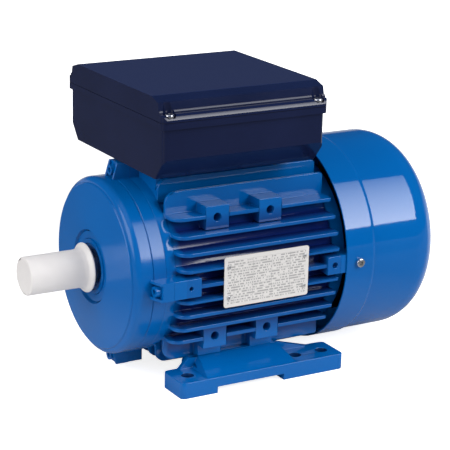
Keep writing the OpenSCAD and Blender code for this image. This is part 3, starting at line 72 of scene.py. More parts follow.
class Wire:
    """An output socket of a shader tree: sums and products of wires become Math nodes."""

    def __init__(self, tree, socket=None):
        self.tree = tree
        self.socket = socket

    def node(self, kind, settings=None, inputs=None, out=0):
        """Adds a node, sets it up, feeds its sockets and gives one of its outputs."""
        made = self.tree.nodes.new(kind)
        for name, value in (settings or {}).items():
            setattr(made, name, value)
        for name, value in (inputs or {}).items():
            if isinstance(value, Wire):
                self.tree.links.new(value.socket, made.inputs[name])
            else:
                made.inputs[name].default_value = value
        return Wire(self.tree, made.outputs[out]) if made.outputs else None

    def math(self, operation, first, second=0.0):
        return self.node("ShaderNodeMath", {"operation": operation}, {0: first, 1: second})

    def __add__(self, other):
        return self.math("ADD", self, other)

    def __radd__(self, other):
        return self.math("ADD", other, self)

    def __sub__(self, other):
        return self.math("SUBTRACT", self, other)

    def __rsub__(self, other):
        return self.math("SUBTRACT", other, self)

    def __mul__(self, other):
        return self.math("MULTIPLY", self, other)

    def __rmul__(self, other):
        return self.math("MULTIPLY", other, self)

    def __truediv__(self, other):
        return self.math("DIVIDE", self, other)

    def __mod__(self, other):
        return self.math("FLOORED_MODULO", self, other)

    def most(self, other):
        return self.math("MAXIMUM", self, other)

    def over(self, other):
        return self.math("GREATER_THAN", self, other)

    def root(self):
        return self.math("SQRT", self)

    def step(self):
        return self.math("FLOOR", self)

    def span(self, low, high):
        """0 below low, 1 above high and even in between."""
        return self.node("ShaderNodeMapRange", {"clamp": True},
                         {"Value": self, "From Min": low, "From Max": high})

    def tint(self, first, second):
        """Mixes two colours, given as wires or as numbers, by this value."""
        first, second = (c if isinstance(c, Wire) else (*c, 1) for c in (first, second))
        return self.node("ShaderNodeMix", {"data_type": "RGBA"}, {0: self, 6: first, 7: second}, out=2)

    def mottle(self, first, second, low=0.3, high=0.7):
        """Two colours in soft patches, by a noise that mostly lies between low and high."""
        return self.span(low, high).tint(first, second)

    def place(self, axis):
        """One of the object's own coordinates, in metres."""
        spot = self.node("ShaderNodeTexCoord", out="Object")
        return self.node("ShaderNodeSeparateXYZ", {}, {"Vector": spot}, out=axis)

    def noise(self, scale, detail=2.0, stretch=(1, 1, 1)):
        """Soft noise over the object's own coordinates, with a scale in waves to the metre."""
        spot = self.node("ShaderNodeTexCoord", out="Object")
        spot = self.node("ShaderNodeMapping", {}, {"Vector": spot, "Scale": stretch})
        return self.node("ShaderNodeTexNoise", {}, {"Vector": spot, "Scale": scale, "Detail": detail})

    def bump(self, strength, distance):
        """Normal of a surface that this value raises."""
        return self.node("ShaderNodeBump", {},
                         {"Strength": strength, "Distance": distance, "Height": self})


def ray_kinds(tree):
    """1 for rays from the camera, and 1 for those that see by gloss or through clear pieces."""
    path = tree.nodes.new("ShaderNodeLightPath")
    gloss = Wire(tree, path.outputs["Is Glossy Ray"])
    through = Wire(tree, path.outputs["Is Transmission Ray"])
    return Wire(tree, path.outputs["Is Camera Ray"]), gloss.most(through)


WHITE = (1, 1, 1)
FILL_GREY = (0.6, 0.6, 0.6)
STUDIO_DARK = (0.03, 0.06, 0.15)
BACKDROP_PALE = (0.6, 0.6, 0.6)
BACKDROP_TOP = (0.04, 0.16)
BACKDROP_FRONT = (-0.15, 0.1)
world = bpy.data.worlds.new("studio")
bpy.context.scene.world = world
world.use_nodes = True
world.node_tree.nodes.clear()
sky = Wire(world.node_tree)
from_camera, by_gloss = ray_kinds(world.node_tree)
bearing = sky.node("ShaderNodeTexCoord", out="Generated")
height = sky.node("ShaderNodeSeparateXYZ", {}, {"Vector": bearing}, out="Z")
depth = sky.node("ShaderNodeSeparateXYZ", {}, {"Vector": bearing}, out="Y")
backdrop = (1 - height.span(*BACKDROP_TOP)) * (1 - depth.span(*BACKDROP_FRONT))
mirrored = by_gloss.tint(FILL_GREY, backdrop.tint(STUDIO_DARK, BACKDROP_PALE))
sky = sky.node("ShaderNodeBackground", {}, {"Color": from_camera.tint(mirrored, WHITE)})
sky.node("ShaderNodeOutputWorld", {}, {"Surface": sky})

FLOOR_HALF = 4.0
SHEET_FRONT = (0.33, 0.45)
SHEET_BACK = (-0.4, -0.05)
SHADOW_REACH = (0.3, 0.55)
SHEET_WHITE = (0.85, 0.85, 0.85)
MIRRORED_NEAR = (0.5, 0.5, 0.5)
MIRRORED_FAR = (0.2, 0.2, 0.2)
MIRRORED_REACH = (0.16, 0.27)
BEYOND_TAIL = (-0.27, -0.21)
BEHIND_TAIL = (0.0, 0.1)
STUDIO_GREY = (0.12, 0.12, 0.12)
SHADOW_GLOW = 0.8
bpy.ops.mesh.primitive_plane_add(size=2 * FLOOR_HALF)
floor = bpy.context.object
floor.name = "floor"
floor_paint = bpy.data.materials.new("white_sheet")
floor_paint.use_nodes = True
floor_paint.node_tree.nodes.clear()
sheet = Wire(floor_paint.node_tree)
from_camera, by_gloss = ray_kinds(floor_paint.node_tree)
along = sheet.place("X")
across = sheet.place("Y")
tail = (1 - along.span(*BEYOND_TAIL)) * (1 - across.span(*BEHIND_TAIL))
lit = (across.span(*SHEET_BACK) * (1 - across.span(*SHEET_FRONT))).most(tail)
apart = (along * along + across * across).root()
glow = from_camera * (SHADOW_GLOW + apart.span(*SHADOW_REACH) * (1 - SHADOW_GLOW))
mirrored = tail.tint(apart.span(*MIRRORED_REACH).tint(MIRRORED_NEAR, MIRRORED_FAR), SHEET_WHITE)
paper = lit.tint(STUDIO_GREY, by_gloss.tint(SHEET_WHITE, mirrored))
matt = sheet.node("ShaderNodeBsdfDiffuse", {}, {"Color": paper})
shine = sheet.node("ShaderNodeEmission", {}, {"Color": (*WHITE, 1), "Strength": glow})
both = sheet.node("ShaderNodeAddShader", {}, {0: matt, 1: shine})
sheet.node("ShaderNodeOutputMaterial", {}, {"Surface": both})
floor.data.materials.append(floor_paint)

# Power of a square metre of lamp at a radiance of 1.
LAMP_WATTS = 4


def softbox(name, place, faces, size, radiance, top=1.0):
    """A flat lamp that hangs at a place, faces along a direction and fades to a share at its top."""
    bpy.ops.object.light_add(type="AREA", location=place)
    lamp = bpy.context.object
    lamp.name = name
    lamp.rotation_mode = "QUATERNION"
    lamp.rotation_quaternion = Vector(faces).to_track_quat("-Z", "Y")
    lamp.data.shape = "RECTANGLE"
    lamp.data.size = size[0]
    lamp.data.size_y = size[1]
    lamp.data.energy = LAMP_WATTS * radiance * size[0] * size[1]
    lamp.data.use_nodes = True
    lamp.data.node_tree.nodes.clear()
    cloth = Wire(lamp.data.node_tree)
    spot = cloth.node("ShaderNodeNewGeometry", out="Parametric")
    rise = cloth.node("ShaderNodeSeparateXYZ", {}, {"Vector": spot}, out="Y")
    glow = cloth.node("ShaderNodeEmission", {}, {"Strength": 1 - rise * (1 - top)})
    cloth.node("ShaderNodeOutputLight", {}, {"Surface": glow})


softbox("band_softbox", place=(-1.77, 1.889, 2.029), faces=(0, -0.756, -0.655), size=(1.69, 2.75),
        radiance=7.7, top=0.2)
softbox("top_softbox", place=(0.3, 0.35, 1.5), faces=(0, -0.1, -1), size=(1.2, 1.0), radiance=0.5)
softbox("shaft_softbox", place=(1.5, 0.2, 0.9), faces=(-0.85, -0.1, -0.5), size=(1.2, 1.2),
        radiance=2.6)

# Motor frame
# A cast frame with flat cooling fins, machined pads and screw bosses. It is sprayed with glossy
# blue enamel, together with its end shields and feet, so the paint also covers their screws.


def finish(name, build, *names):
    """A Principled material on CAD nodes: build gets a wire and gives the shader's sockets."""
    made = bpy.data.materials.new(name)
    made.use_nodes = True
    made.node_tree.nodes.clear()
    start = Wire(made.node_tree)
    shader = start.node("ShaderNodeBsdfPrincipled", {}, build(start))
    start.node("ShaderNodeOutputMaterial", {}, {"Surface": shader})
    coat(made, *names)
    return made


def coat(material, *names):
    """Gives CAD nodes one finish."""
    for name in names:
        nodes[name].data.materials.clear()
        nodes[name].data.materials.append(material)


WELD_GAP = 1e-6
EDGE_STEPS = 2
EDGE_ANGLE = math.radians(32)


def soften(width, *names):
    """Rounds the sharp edges of CAD nodes, as casting, pressing or tumbling leaves them."""
    for name in names:
        weld = nodes[name].modifiers.new("joined", "WELD")
        weld.merge_threshold = WELD_GAP
        bevel = nodes[name].modifiers.new("edges", "BEVEL")
        bevel.width = width
        bevel.segments = EDGE_STEPS
        bevel.limit_method = "ANGLE"
        bevel.angle_limit = EDGE_ANGLE
        bevel.use_clamp_overlap = False
        bevel.harden_normals = True
        bevel.miter_outer = "MITER_ARC"


ENAMEL_DEEP = (0.0, 0.098, 0.358)
ENAMEL_LIGHT = (0.0, 0.112, 0.392)
ENAMEL_PAINTED_SHADE = (0.005, 0.017, 0.125)
SHAFT_HEIGHT = 0.09
FIN_ROOT_TO_TIP = (0.073, 0.0865)
FIN_FRONT = (0.055, 0.060)
FIN_UPPER = (0.040, 0.052)
FRAME_EDGE = 0.0005
PEEL_H = 0.0004


def enamel(start, skin=0.04, rough=0.16, shine=0.36):
    """Sprayed gloss paint, whose skin has a little orange peel."""
    drift = start.noise(scale=10)
    peel = start.noise(scale=320)
    return {"Base Color": drift.mottle(ENAMEL_DEEP, ENAMEL_LIGHT),
            "Roughness": rough + drift * 0.04, "Specular IOR Level": shine,
            "Normal": peel.bump(strength=skin, distance=PEEL_H)}


def fin_enamel(start):
    """The same paint, with painted shade that darkens it towards the roots of the fins."""
    sockets = enamel(start, skin=0.03, rough=0.1, shine=0.4)
    side = start.place("Y")
    rise = start.place("Z") - SHAFT_HEIGHT
    # Painted shade: dark blue between the fins, full paint at the front end and on the upper panel.
    out_of_painted_shade = (side * side + rise * rise).root().span(*FIN_ROOT_TO_TIP)
    out_of_painted_shade = out_of_painted_shade.most(start.place("X").span(*FIN_FRONT)).most(rise.span(*FIN_UPPER))
    sockets["Base Color"] = out_of_painted_shade.tint(ENAMEL_PAINTED_SHADE, sockets["Base Color"])
    return sockets


finish("fin_enamel", fin_enamel, "stator_frame")
soften(FRAME_EDGE, "stator_frame")

# Stator
# A stack of punched steel sheets pressed into the frame. Copper coils in amber varnish lie in its
# slots and turn over in a thick ring at both ends.
STACK_GREY = (0.16, 0.165, 0.18)
STACK_RUSTED = (0.24, 0.235, 0.235)
STACK_WAVE = 5200
COPPER_DARK = (0.20, 0.055, 0.02)
COPPER_BRIGHT = (0.52, 0.20, 0.07)


def lamination(start):
    """The edges of stacked sheets, a little rusted."""
    sheets = start.math("SINE", start.place("X") * STACK_WAVE)
    rust = start.noise(scale=60, detail=3)
    return {"Base Color": rust.mottle(STACK_GREY, STACK_RUSTED),
            "Metallic": 0.9, "Roughness": 0.45 + rust * 0.2,
            "Normal": sheets.bump(strength=0.3, distance=0.0001)}


finish("sheet_steel", lamination, "stator_core", "rotor_core")


def enamelled_copper(start):
    """Strands that lie along the shaft, under varnish."""
    strands = start.noise(scale=260, detail=3, stretch=(0.15, 1, 1))
    return {"Base Color": strands.mottle(COPPER_DARK, COPPER_BRIGHT, low=0.35, high=0.65),
            "Metallic": 0.6, "Roughness": 0.3 + strands * 0.15,
            "Normal": strands.bump(strength=0.6, distance=0.0006)}


finish("varnished_copper", enamelled_copper, "stator_windings")

# Shaft and rotor
# A turned and ground steel shaft carries the rotor stack, whose bars and end rings are cast in
# one piece of aluminium.
STEEL_GREY = (0.46, 0.465, 0.48)
STEEL_BRIGHT = (0.60, 0.605, 0.62)
CAST_DULL = (0.50, 0.51, 0.52)
CAST_BRIGHT = (0.62, 0.63, 0.64)


def ground_steel(start):
    """Bright steel with fine marks of turning around the shaft."""
    turning = start.noise(scale=900, stretch=(1, 0.02, 0.02))
    return {"Base Color": turning.mottle(STEEL_GREY, STEEL_BRIGHT),
            "Metallic": 1.0, "Roughness": 0.2 + turning * 0.15,
            "Normal": turning.bump(strength=0.08, distance=0.0001)}


bright_steel = finish("bright_steel", ground_steel, "shaft")


def cast_alloy(start):
    """The grainy skin of a casting."""
    skin = start.noise(scale=240, detail=4)
    return {"Base Color": skin.mottle(CAST_DULL, CAST_BRIGHT),
            "Metallic": 1.0, "Roughness": 0.35 + skin * 0.2,
            "Normal": skin.bump(strength=0.2, distance=0.0003)}


cast_aluminium = finish("cast_aluminium", cast_alloy, "rotor_cage")

# Ball bearings
# Two deep-groove ball bearings with pressed brass cages. A wavy steel washer behind the fan-end
# one takes up the end play.
BRASS_BRIGHT = (0.62, 0.42, 0.13)
BRASS_TARNISHED = (0.48, 0.31, 0.10)
coat(bright_steel, "de_bearing_outer", "de_bearing_inner", "de_bearing_balls", "preload_washer",
     "nde_bearing_outer", "nde_bearing_inner", "nde_bearing_balls")


def pressed_brass(start):
    tarnish = start.noise(scale=90, detail=3)
    return {"Base Color": tarnish.mottle(BRASS_BRIGHT, BRASS_TARNISHED, low=0.35),
            "Metallic": 1.0, "Roughness": 0.24 + tarnish * 0.2}


bright_brass = finish("bright_brass", pressed_brass, "de_bearing_cage", "nde_bearing_cage")

# End shields
# Cast shields with spigots in the frame bore, each held by four socket screws through its lugs.
# The shaft leaves the drive-end one through a lip seal in a raised ring, and a cast ring closes
# the groove around that.
SEAL_SPRAYED = (0.002, 0.05, 0.18)
blue_enamel = finish("blue_enamel", enamel, "de_end_shield", "nde_end_shield", "de_shield_screws",
                     "nde_shield_screws")


def sprayed_rubber(start):
    """Black rubber under a mist of the enamel."""
    mist = start.noise(scale=140)
    return {"Base Color": mist.mottle(SEAL_SPRAYED, ENAMEL_DEEP, high=0.6),
            "Roughness": 0.3 + mist * 0.2}


finish("sprayed_rubber", sprayed_rubber, "shaft_seal")
SMOOTH_ANGLE = math.radians(35)


def revolve(name, facets, outline):
    """A skin around the shaft axis, left open for editing, from places along it and radii."""
    (now_x, now_r), *onward = outline
    bpy.ops.object.select_all(action="DESELECT")
    bpy.ops.mesh.primitive_circle_add(vertices=facets, radius=now_r,
                                      location=(now_x, 0, SHAFT_HEIGHT), rotation=(0, math.pi / 2, 0))
    bpy.ops.object.transform_apply(location=True, rotation=True)
    made = bpy.context.object
    made.name = name
    made.data.name = name
    bpy.ops.object.mode_set(mode="EDIT")
    bpy.ops.mesh.select_mode(type="EDGE")
    bpy.ops.mesh.select_all(action="SELECT")
    for x, r in onward:
        bpy.ops.mesh.extrude_edges_move(TRANSFORM_OT_translate={"value": (x - now_x, 0, 0)})
        bpy.ops.transform.resize(value=(1, r / now_r, r / now_r), center_override=(0, 0, SHAFT_HEIGHT))
        now_x, now_r = x, r
    return made


def round_edges(piece, width, steps, angle):
    """Rounds those edges of the active piece that are sharper than an angle."""
    rounded = piece.modifiers.new("edges", "BEVEL")
    rounded.width = width
    rounded.segments = steps
    rounded.limit_method = "ANGLE"
    rounded.angle_limit = math.radians(angle)
    bpy.ops.object.modifier_apply(modifier=rounded.name)
    bpy.ops.object.shade_smooth_by_angle(angle=SMOOTH_ANGLE)


GROOVE_FACETS = 96
GROOVE_FRONT_X = 0.0997
GROOVE_FRONT_IN_R = 0.0224
GROOVE_FRONT_OUT_R = 0.0287
GROOVE_BACK_X = 0.0970
GROOVE_BACK_IN_R = 0.0231
GROOVE_BACK_OUT_R = 0.0275
SEAM_GAP = 1e-5
groove = ((GROOVE_FRONT_X, GROOVE_FRONT_OUT_R), (GROOVE_FRONT_X, GROOVE_FRONT_IN_R),
          (GROOVE_BACK_X, GROOVE_BACK_IN_R), (GROOVE_BACK_X, GROOVE_BACK_OUT_R),
          (GROOVE_FRONT_X, GROOVE_FRONT_OUT_R))
groove_ring = revolve("groove_ring", GROOVE_FACETS, groove)
bpy.ops.mesh.select_all(action="SELECT")
bpy.ops.mesh.remove_doubles(threshold=SEAM_GAP)
bpy.ops.mesh.normals_make_consistent(inside=False)
bpy.ops.object.mode_set(mode="OBJECT")
round_edges(groove_ring, width=0.0006, steps=3, angle=30)
groove_ring.data.materials.append(blue_enamel)
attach(groove_ring, "motor_body")

# Centrifugal switch
# Pressed flyweights swing out on the rotor and let a plastic collar slide, which opens the brass
# contacts of the start winding on a board of brown laminate.
NYLON_DEEP = (0.010, 0.010, 0.011)
NYLON_PALE = (0.020, 0.020, 0.022)
LAMINATE_DARK = (0.23, 0.09, 0.03)
LAMINATE_PALE = (0.33, 0.15, 0.055)
coat(bright_steel, "governor_base", "governor_weight_top", "governor_weight_bottom")


def filled_nylon(start):
    grain = start.noise(scale=380, detail=3)
    return {"Base Color": grain.mottle(NYLON_DEEP, NYLON_PALE), "Roughness": 0.42 + grain * 0.2,
            "Normal": grain.bump(strength=0.15, distance=0.0003)}


black_nylon = finish("black_nylon", filled_nylon, "governor_spool")


def laminate(start):
    layers = start.noise(scale=120, detail=3, stretch=(6, 1, 1))
    return {"Base Color": layers.mottle(LAMINATE_DARK, LAMINATE_PALE),
            "Roughness": 0.38 + layers * 0.15}


finish("brown_laminate", laminate, "switch_plate")
coat(bright_brass, "switch_contacts")

# Feet
# Two cast feet with sloped pedestals, screwed to the pads under the frame from below and sprayed
# with it.
HOLE_XS = (0.05, -0.05, -0.075)
HOLE_Y = 0.07
HOLE_R = 0.00505
FOOT_EDGE = 0.0006
HOLE_PAINTED_SHADE = (0.003, 0.03, 0.12)
ZINC_DULL = (0.60, 0.61, 0.63)
ZINC_BRIGHT = (0.74, 0.74, 0.75)


def foot_enamel(start):
    """The same paint, with painted shade, a darker blue, inside the drilled bolt holes."""
    sockets = enamel(start)
    across = start.math("ABSOLUTE", start.place("Y")) - HOLE_Y
    in_hole = 0.0
    for hole_x in HOLE_XS:
        along = start.place("X") - hole_x
        in_hole = 1 - (along * along + across * across).root().over(HOLE_R) + in_hole
    # Painted shade: darker blue within each bolt hole's radius.
    sockets["Base Color"] = in_hole.tint(sockets["Base Color"], HOLE_PAINTED_SHADE)
    return sockets


finish("foot_enamel", foot_enamel, "left_foot", "right_foot")
soften(FOOT_EDGE, "left_foot", "right_foot")


def zinc_plate(start):
    bloom = start.noise(scale=180, detail=3)
    return {"Base Color": bloom.mottle(ZINC_DULL, ZINC_BRIGHT),
            "Metallic": 1.0, "Roughness": 0.18 + bloom * 0.14}


bright_zinc = finish("bright_zinc", zinc_plate, "foot_screws")

# Fan
# A fan with eight blades, moulded in black nylon and pushed on the rear shaft end, where a spring
# steel circlip holds it.
coat(black_nylon, "fan")
coat(bright_steel, "fan_circlip")

# Fan cowl
# A cowl pressed from thin steel sheet, with a joggled rim over the frame and a ringed grille in its
# flat end. It is sprayed like the frame, and its smooth sheet shows the paint at its glossiest.


def sheet_enamel(start):
    """The same paint on smooth sheet."""
    return enamel(start, skin=0.02, rough=0.05, shine=0.5)


pressed_enamel = finish("pressed_enamel", sheet_enamel, "fan_cowl")
COWL_FACETS = 144
COWL_T = 0.0012
RIM_L = 0.025
HEM_L = 0.0008
JOGGLE_L = 0.0032
JOGGLE_DROP = 0.0014
JOGGLE_STEPS = 6
CORNER_R = 0.028
CORNER_STEPS = 10
GRILLE_HUB_R = 0.017
GRILLE_SLOT = 0.005
GRILLE_PITCH = 0.009
GRILLE_EDGE = 0.001
SPOKES = 8
SPOKE_W = 0.005
low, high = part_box("fan_cowl")
rim_r = high.y
tail_r = rim_r - JOGGLE_DROP
flat_r = tail_r - CORNER_R
profile = [(high.x, rim_r), (high.x - HEM_L, rim_r), (high.x - RIM_L + HEM_L, rim_r)]
for step in range(JOGGLE_STEPS + 1):
    share = step / JOGGLE_STEPS
    profile.append((high.x - RIM_L - share * JOGGLE_L,
                    rim_r - JOGGLE_DROP * (1 - math.cos(share * math.pi)) / 2))
profile.append((high.x - RIM_L - JOGGLE_L - HEM_L, tail_r))
profile.append((low.x + CORNER_R + HEM_L, tail_r))
for step in range(CORNER_STEPS + 1):
    turn = math.pi / 2 * step / CORNER_STEPS
    profile.append((low.x + CORNER_R * (1 - math.sin(turn)), flat_r + CORNER_R * math.cos(turn)))
slot_rings = []
ring_r = GRILLE_HUB_R
while ring_r + GRILLE_SLOT < flat_r - GRILLE_EDGE:
    slot_rings.append(ring_r)
    ring_r += GRILLE_PITCH
for ring_r in reversed(slot_rings):
    profile += [(low.x, ring_r + GRILLE_SLOT), (low.x, ring_r)]
cowl = revolve("joggled_fan_cowl", COWL_FACETS, profile)
bpy.ops.mesh.edge_face_add()
bpy.ops.mesh.select_all(action="SELECT")
bpy.ops.mesh.normals_make_consistent(inside=False)

# Shares of a normal along an axis, for faces that look along it, straight along it or aside.
FACING = 0.9
SQUARE_ON = 0.99
EDGE_ON = 0.1


def pick(piece, test):
    """Opens a piece for editing with just those faces selected whose centre and normal pass."""
    bpy.ops.object.mode_set(mode="OBJECT")
    bpy.ops.object.select_all(action="DESELECT")
    bpy.context.view_layer.objects.active = piece
    piece.select_set(True)
    bpy.ops.object.mode_set(mode="EDIT")
    bpy.ops.mesh.select_mode(type="FACE")
    bpy.ops.mesh.select_all(action="DESELECT")
    bpy.ops.object.mode_set(mode="OBJECT")
    for face in piece.data.polygons:
        face.select = test(face.center, face.normal)
    bpy.ops.object.mode_set(mode="EDIT")


def in_slot(spot, normal):
    """True in the slots of the grille, which lie in rings between the spokes."""
    radius = math.hypot(spot.y, spot.z - SHAFT_HEIGHT)
    turn = math.atan2(spot.z - SHAFT_HEIGHT, spot.y) % (2 * math.pi / SPOKES)
    aside = radius * min(turn, 2 * math.pi / SPOKES - turn)
    ring = any(0 < radius - inner < GRILLE_SLOT for inner in slot_rings)
    return normal.x < -SQUARE_ON and ring and aside > SPOKE_W / 2


pick(cowl, in_slot)
bpy.ops.mesh.delete(type="FACE")
bpy.ops.object.mode_set(mode="OBJECT")
thick = cowl.modifiers.new("sheet", "SOLIDIFY")
thick.thickness = COWL_T
thick.offset = -1
bpy.ops.object.modifier_apply(modifier=thick.name)
round_edges(cowl, width=0.0003, steps=2, angle=60)
cowl.data.materials.append(pressed_enamel)
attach(cowl, "motor_body")
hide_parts("fan_cowl")

# Cowl screws
# Zinc-plated steel screws with pan heads and cross recesses, driven through the cowl's rim into
# the lugs of the fan-end shield. Each has stopped at its own angle.


def cut_out(piece, cutter):
    """Takes the room of a cutter out of a piece."""
    bpy.ops.object.mode_set(mode="OBJECT")
    bpy.ops.object.select_all(action="DESELECT")
    bpy.context.view_layer.objects.active = piece
    piece.select_set(True)
    cut = piece.modifiers.new("cut", "BOOLEAN")
    cut.object = cutter
    bpy.ops.object.modifier_apply(modifier=cut.name)
    bpy.data.objects.remove(cutter)


def set_copies(piece, places, name, material, node):
    """Copies a piece to each place, as one set that stands for a CAD node."""
    copies = []
    for place in places:
        bpy.ops.object.select_all(action="DESELECT")
        piece.select_set(True)
        bpy.context.view_layer.objects.active = piece
        bpy.ops.object.duplicate()
        bpy.context.object.matrix_world = place
        copies.append(bpy.context.object)
    bpy.ops.object.select_all(action="DESELECT")
    for copy in copies:
        copy.select_set(True)
    bpy.context.view_layer.objects.active = copies[0]
    bpy.ops.object.join()
    bpy.ops.object.transform_apply(location=True, rotation=True, scale=True)
    bpy.ops.object.shade_smooth_by_angle(angle=SMOOTH_ANGLE)
    made = bpy.context.object
    made.name = name
    made.data.name = name
    made.data.materials.clear()
    made.data.materials.append(material)
    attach(made, "motor_body")
    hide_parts(node)


HEAD_D = 0.0076
HEAD_H = 0.003
HEAD_ROUND = 0.0015
HEAD_FACETS = 32
SHANK_D = 0.004
SHANK_L = 0.004
RECESS_W = 0.0011
RECESS_L = 0.0044
RECESS_DEPTH = 0.0018
RECESS_TAPER = 0.5
bpy.ops.mesh.primitive_cylinder_add(vertices=HEAD_FACETS, radius=HEAD_D / 2, depth=HEAD_H,
                                    location=(0, 0, HEAD_H / 2))
bpy.ops.object.transform_apply(location=True)
pan_screw = bpy.context.object
pick(pan_screw, lambda spot, normal: normal.z > FACING)
bpy.ops.mesh.bevel(offset=HEAD_ROUND, segments=5, profile=0.6)
pick(pan_screw, lambda spot, normal: normal.z < -FACING)
bpy.ops.mesh.inset(thickness=(HEAD_D - SHANK_D) / 2)
bpy.ops.mesh.extrude_region_move(TRANSFORM_OT_translate={"value": (0, 0, -SHANK_L)})
bpy.ops.object.mode_set(mode="OBJECT")
bpy.ops.mesh.primitive_cube_add(size=RECESS_W, location=(0, 0, HEAD_H))
recess = bpy.context.object
recess.scale.z = 2 * RECESS_DEPTH / RECESS_W
bpy.ops.object.transform_apply(location=True, scale=True)
pick(recess, lambda spot, normal: abs(normal.z) < EDGE_ON)
bpy.ops.mesh.extrude_faces_move(TRANSFORM_OT_shrink_fatten={"value": (RECESS_L - RECESS_W) / 2})
pick(recess, lambda spot, normal: normal.z < -FACING)
bpy.ops.transform.resize(value=(RECESS_TAPER, RECESS_TAPER, 1), center_override=(0, 0, 0))
cut_out(pan_screw, recess)

COWL_SCREW_TURNS = (20, 65, 5, 40)
low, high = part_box("cowl_screws")
seat = Matrix.Translation((0, 0, high.y - HEAD_H))
on_axis = Matrix.Translation(((low.x + high.x) / 2, 0, SHAFT_HEIGHT))
around = []
for quarter, turn in enumerate(COWL_SCREW_TURNS):
    driven = Matrix.Rotation(math.radians(turn), 4, "Z")
    around.append(on_axis @ Matrix.Rotation(quarter * math.pi / 2, 4, "X") @ seat @ driven)
set_copies(pan_screw, around, "pan_cowl_screws", bright_zinc, "cowl_screws")

# Rating plate
# An aluminium plate with ruled fields and short printed dashes. Blind rivets with dimpled heads
# hold it on the flat tips of the middle fins.
PLATE_BARE = (0.735, 0.715, 0.70)
PLATE_INK = (0.10, 0.10, 0.11)
PLATE_MARGIN = 0.0028
ROW_PITCH = 0.0021
DASH_PITCH = 0.0009
DASH_LOW = 0.3
DASH_HIGH = 0.8
DASH_INK = 0.55
BLANK_SHARE = 0.4
FIELD_W = 0.017
FIELD_ROWS = 2
RULE_W = 0.0005
RULE_ROWS = 0.12
RULE_INK = 0.3
plate_low, plate_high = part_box("rating_plate")


def ruled_plate(start):
    """Brushed metal with fields of rules, and dashes by chance in each row of a field."""
    brushed = start.noise(scale=500, stretch=(0.03, 1, 1))
    across = start.place("X")
    up = start.place("Z")
    row = (up - plate_low.z) / ROW_PITCH
    dash = (across - plate_low.x) / DASH_PITCH
    cell = start.node("ShaderNodeCombineXYZ", {}, {0: dash.step(), 1: row.step()})
    chance = start.node("ShaderNodeTexWhiteNoise", {"noise_dimensions": "2D"}, {"Vector": cell},
                        out="Value")
    dashes = chance.over(BLANK_SHARE) * (row % 1).over(DASH_LOW) * (1 - (row % 1).over(DASH_HIGH))
    fields = ((across - plate_low.x) % FIELD_W).over(RULE_W) * (row % FIELD_ROWS).over(RULE_ROWS)
    inside = (across.over(plate_low.x + PLATE_MARGIN) * up.over(plate_low.z + PLATE_MARGIN)
              * (1 - across.over(plate_high.x - PLATE_MARGIN))
              * (1 - up.over(plate_high.z - PLATE_MARGIN)))
    ink = (dashes * DASH_INK).most((1 - fields) * RULE_INK) * inside
    return {"Base Color": ink.tint(PLATE_BARE, PLATE_INK), "Metallic": 0.2,
            "Roughness": 0.4 + brushed * 0.1}


finish("plate_metal", ruled_plate, "rating_plate")
RIVET_DULL = (0.62, 0.62, 0.62)
RIVET_BRIGHT = (0.72, 0.72, 0.71)


def bare_alloy(start):
    handling = start.noise(scale=200)
    return {"Base Color": handling.tint(RIVET_DULL, RIVET_BRIGHT), "Metallic": 0.8,
            "Roughness": 0.3 + handling * 0.15}


bare_aluminium = finish("bare_aluminium", bare_alloy, "plate_rivets")
RIVET_D = 0.0036
RIVET_H = 0.0008
RIVET_ROUND = 0.0006
RIVET_FACETS = 24
MANDREL_D = 0.0014
DIMPLE_DEPTH = 0.0004
bpy.ops.mesh.primitive_cylinder_add(vertices=RIVET_FACETS, radius=RIVET_D / 2, depth=RIVET_H,
                                    location=(0, 0, RIVET_H / 2))
bpy.ops.object.transform_apply(location=True)
rivet = bpy.context.object
pick(rivet, lambda spot, normal: normal.z > FACING)
bpy.ops.mesh.bevel(offset=RIVET_ROUND, segments=4, profile=0.5)
pick(rivet, lambda spot, normal: normal.z > SQUARE_ON)
bpy.ops.mesh.inset(thickness=(RIVET_D - MANDREL_D) / 2 - RIVET_ROUND)
bpy.ops.mesh.extrude_region_move(TRANSFORM_OT_translate={"value": (0, 0, -DIMPLE_DEPTH)})
bpy.ops.object.mode_set(mode="OBJECT")
low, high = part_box("plate_rivets")
lay_flat = Matrix.Rotation(-math.pi / 2, 4, "X")
corners = []
for x in (low.x + RIVET_D / 2, high.x - RIVET_D / 2):
    for z in (low.z + RIVET_D / 2, high.z - RIVET_D / 2):
        corners.append(Matrix.Translation((x, high.y - RIVET_H, z)) @ lay_flat)
set_copies(rivet, corners, "dome_plate_rivets", bare_aluminium, "plate_rivets")
bpy.data.objects.remove(rivet)

# Terminal box
# A deep plastic box on the frame's neck, screwed down over a rubber gasket from inside, with an
# earth screw on a boss of its floor. Handling has rubbed the flat top of its lid to satin, and a
# painted sheen makes that top paler.
PLASTIC_DEEP = (0.005, 0.009, 0.036)
PLASTIC_PALE = (0.007, 0.012, 0.046)
PLASTIC_PAINTED_SHEEN = (0.009, 0.018, 0.070)
RUBBED_SHEEN_H = 0.0003
RUBBER_DEEP = (0.008, 0.008, 0.008)
RUBBER_PALE = (0.016, 0.016, 0.016)
lid_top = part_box("terminal_box_lid")[1].z


def moulded_plastic(start):
    """Blue-black gloss, rubbed dull on the very top, where a painted sheen also makes it paler."""
    drift = start.noise(scale=16)
    rubbed_and_sheen = start.place("Z").span(lid_top - RUBBED_SHEEN_H, lid_top)
    glossy = drift.mottle(PLASTIC_DEEP, PLASTIC_PALE)
    # Painted sheen: the colour turns paler on the lid's very top; rubbing only adds roughness.
    return {"Base Color": rubbed_and_sheen.tint(glossy, PLASTIC_PAINTED_SHEEN),
            "Roughness": 0.08 + drift * 0.04 + rubbed_and_sheen * 0.45, "Specular IOR Level": 0.38}


box_plastic = finish("box_plastic", moulded_plastic, "terminal_box_base")


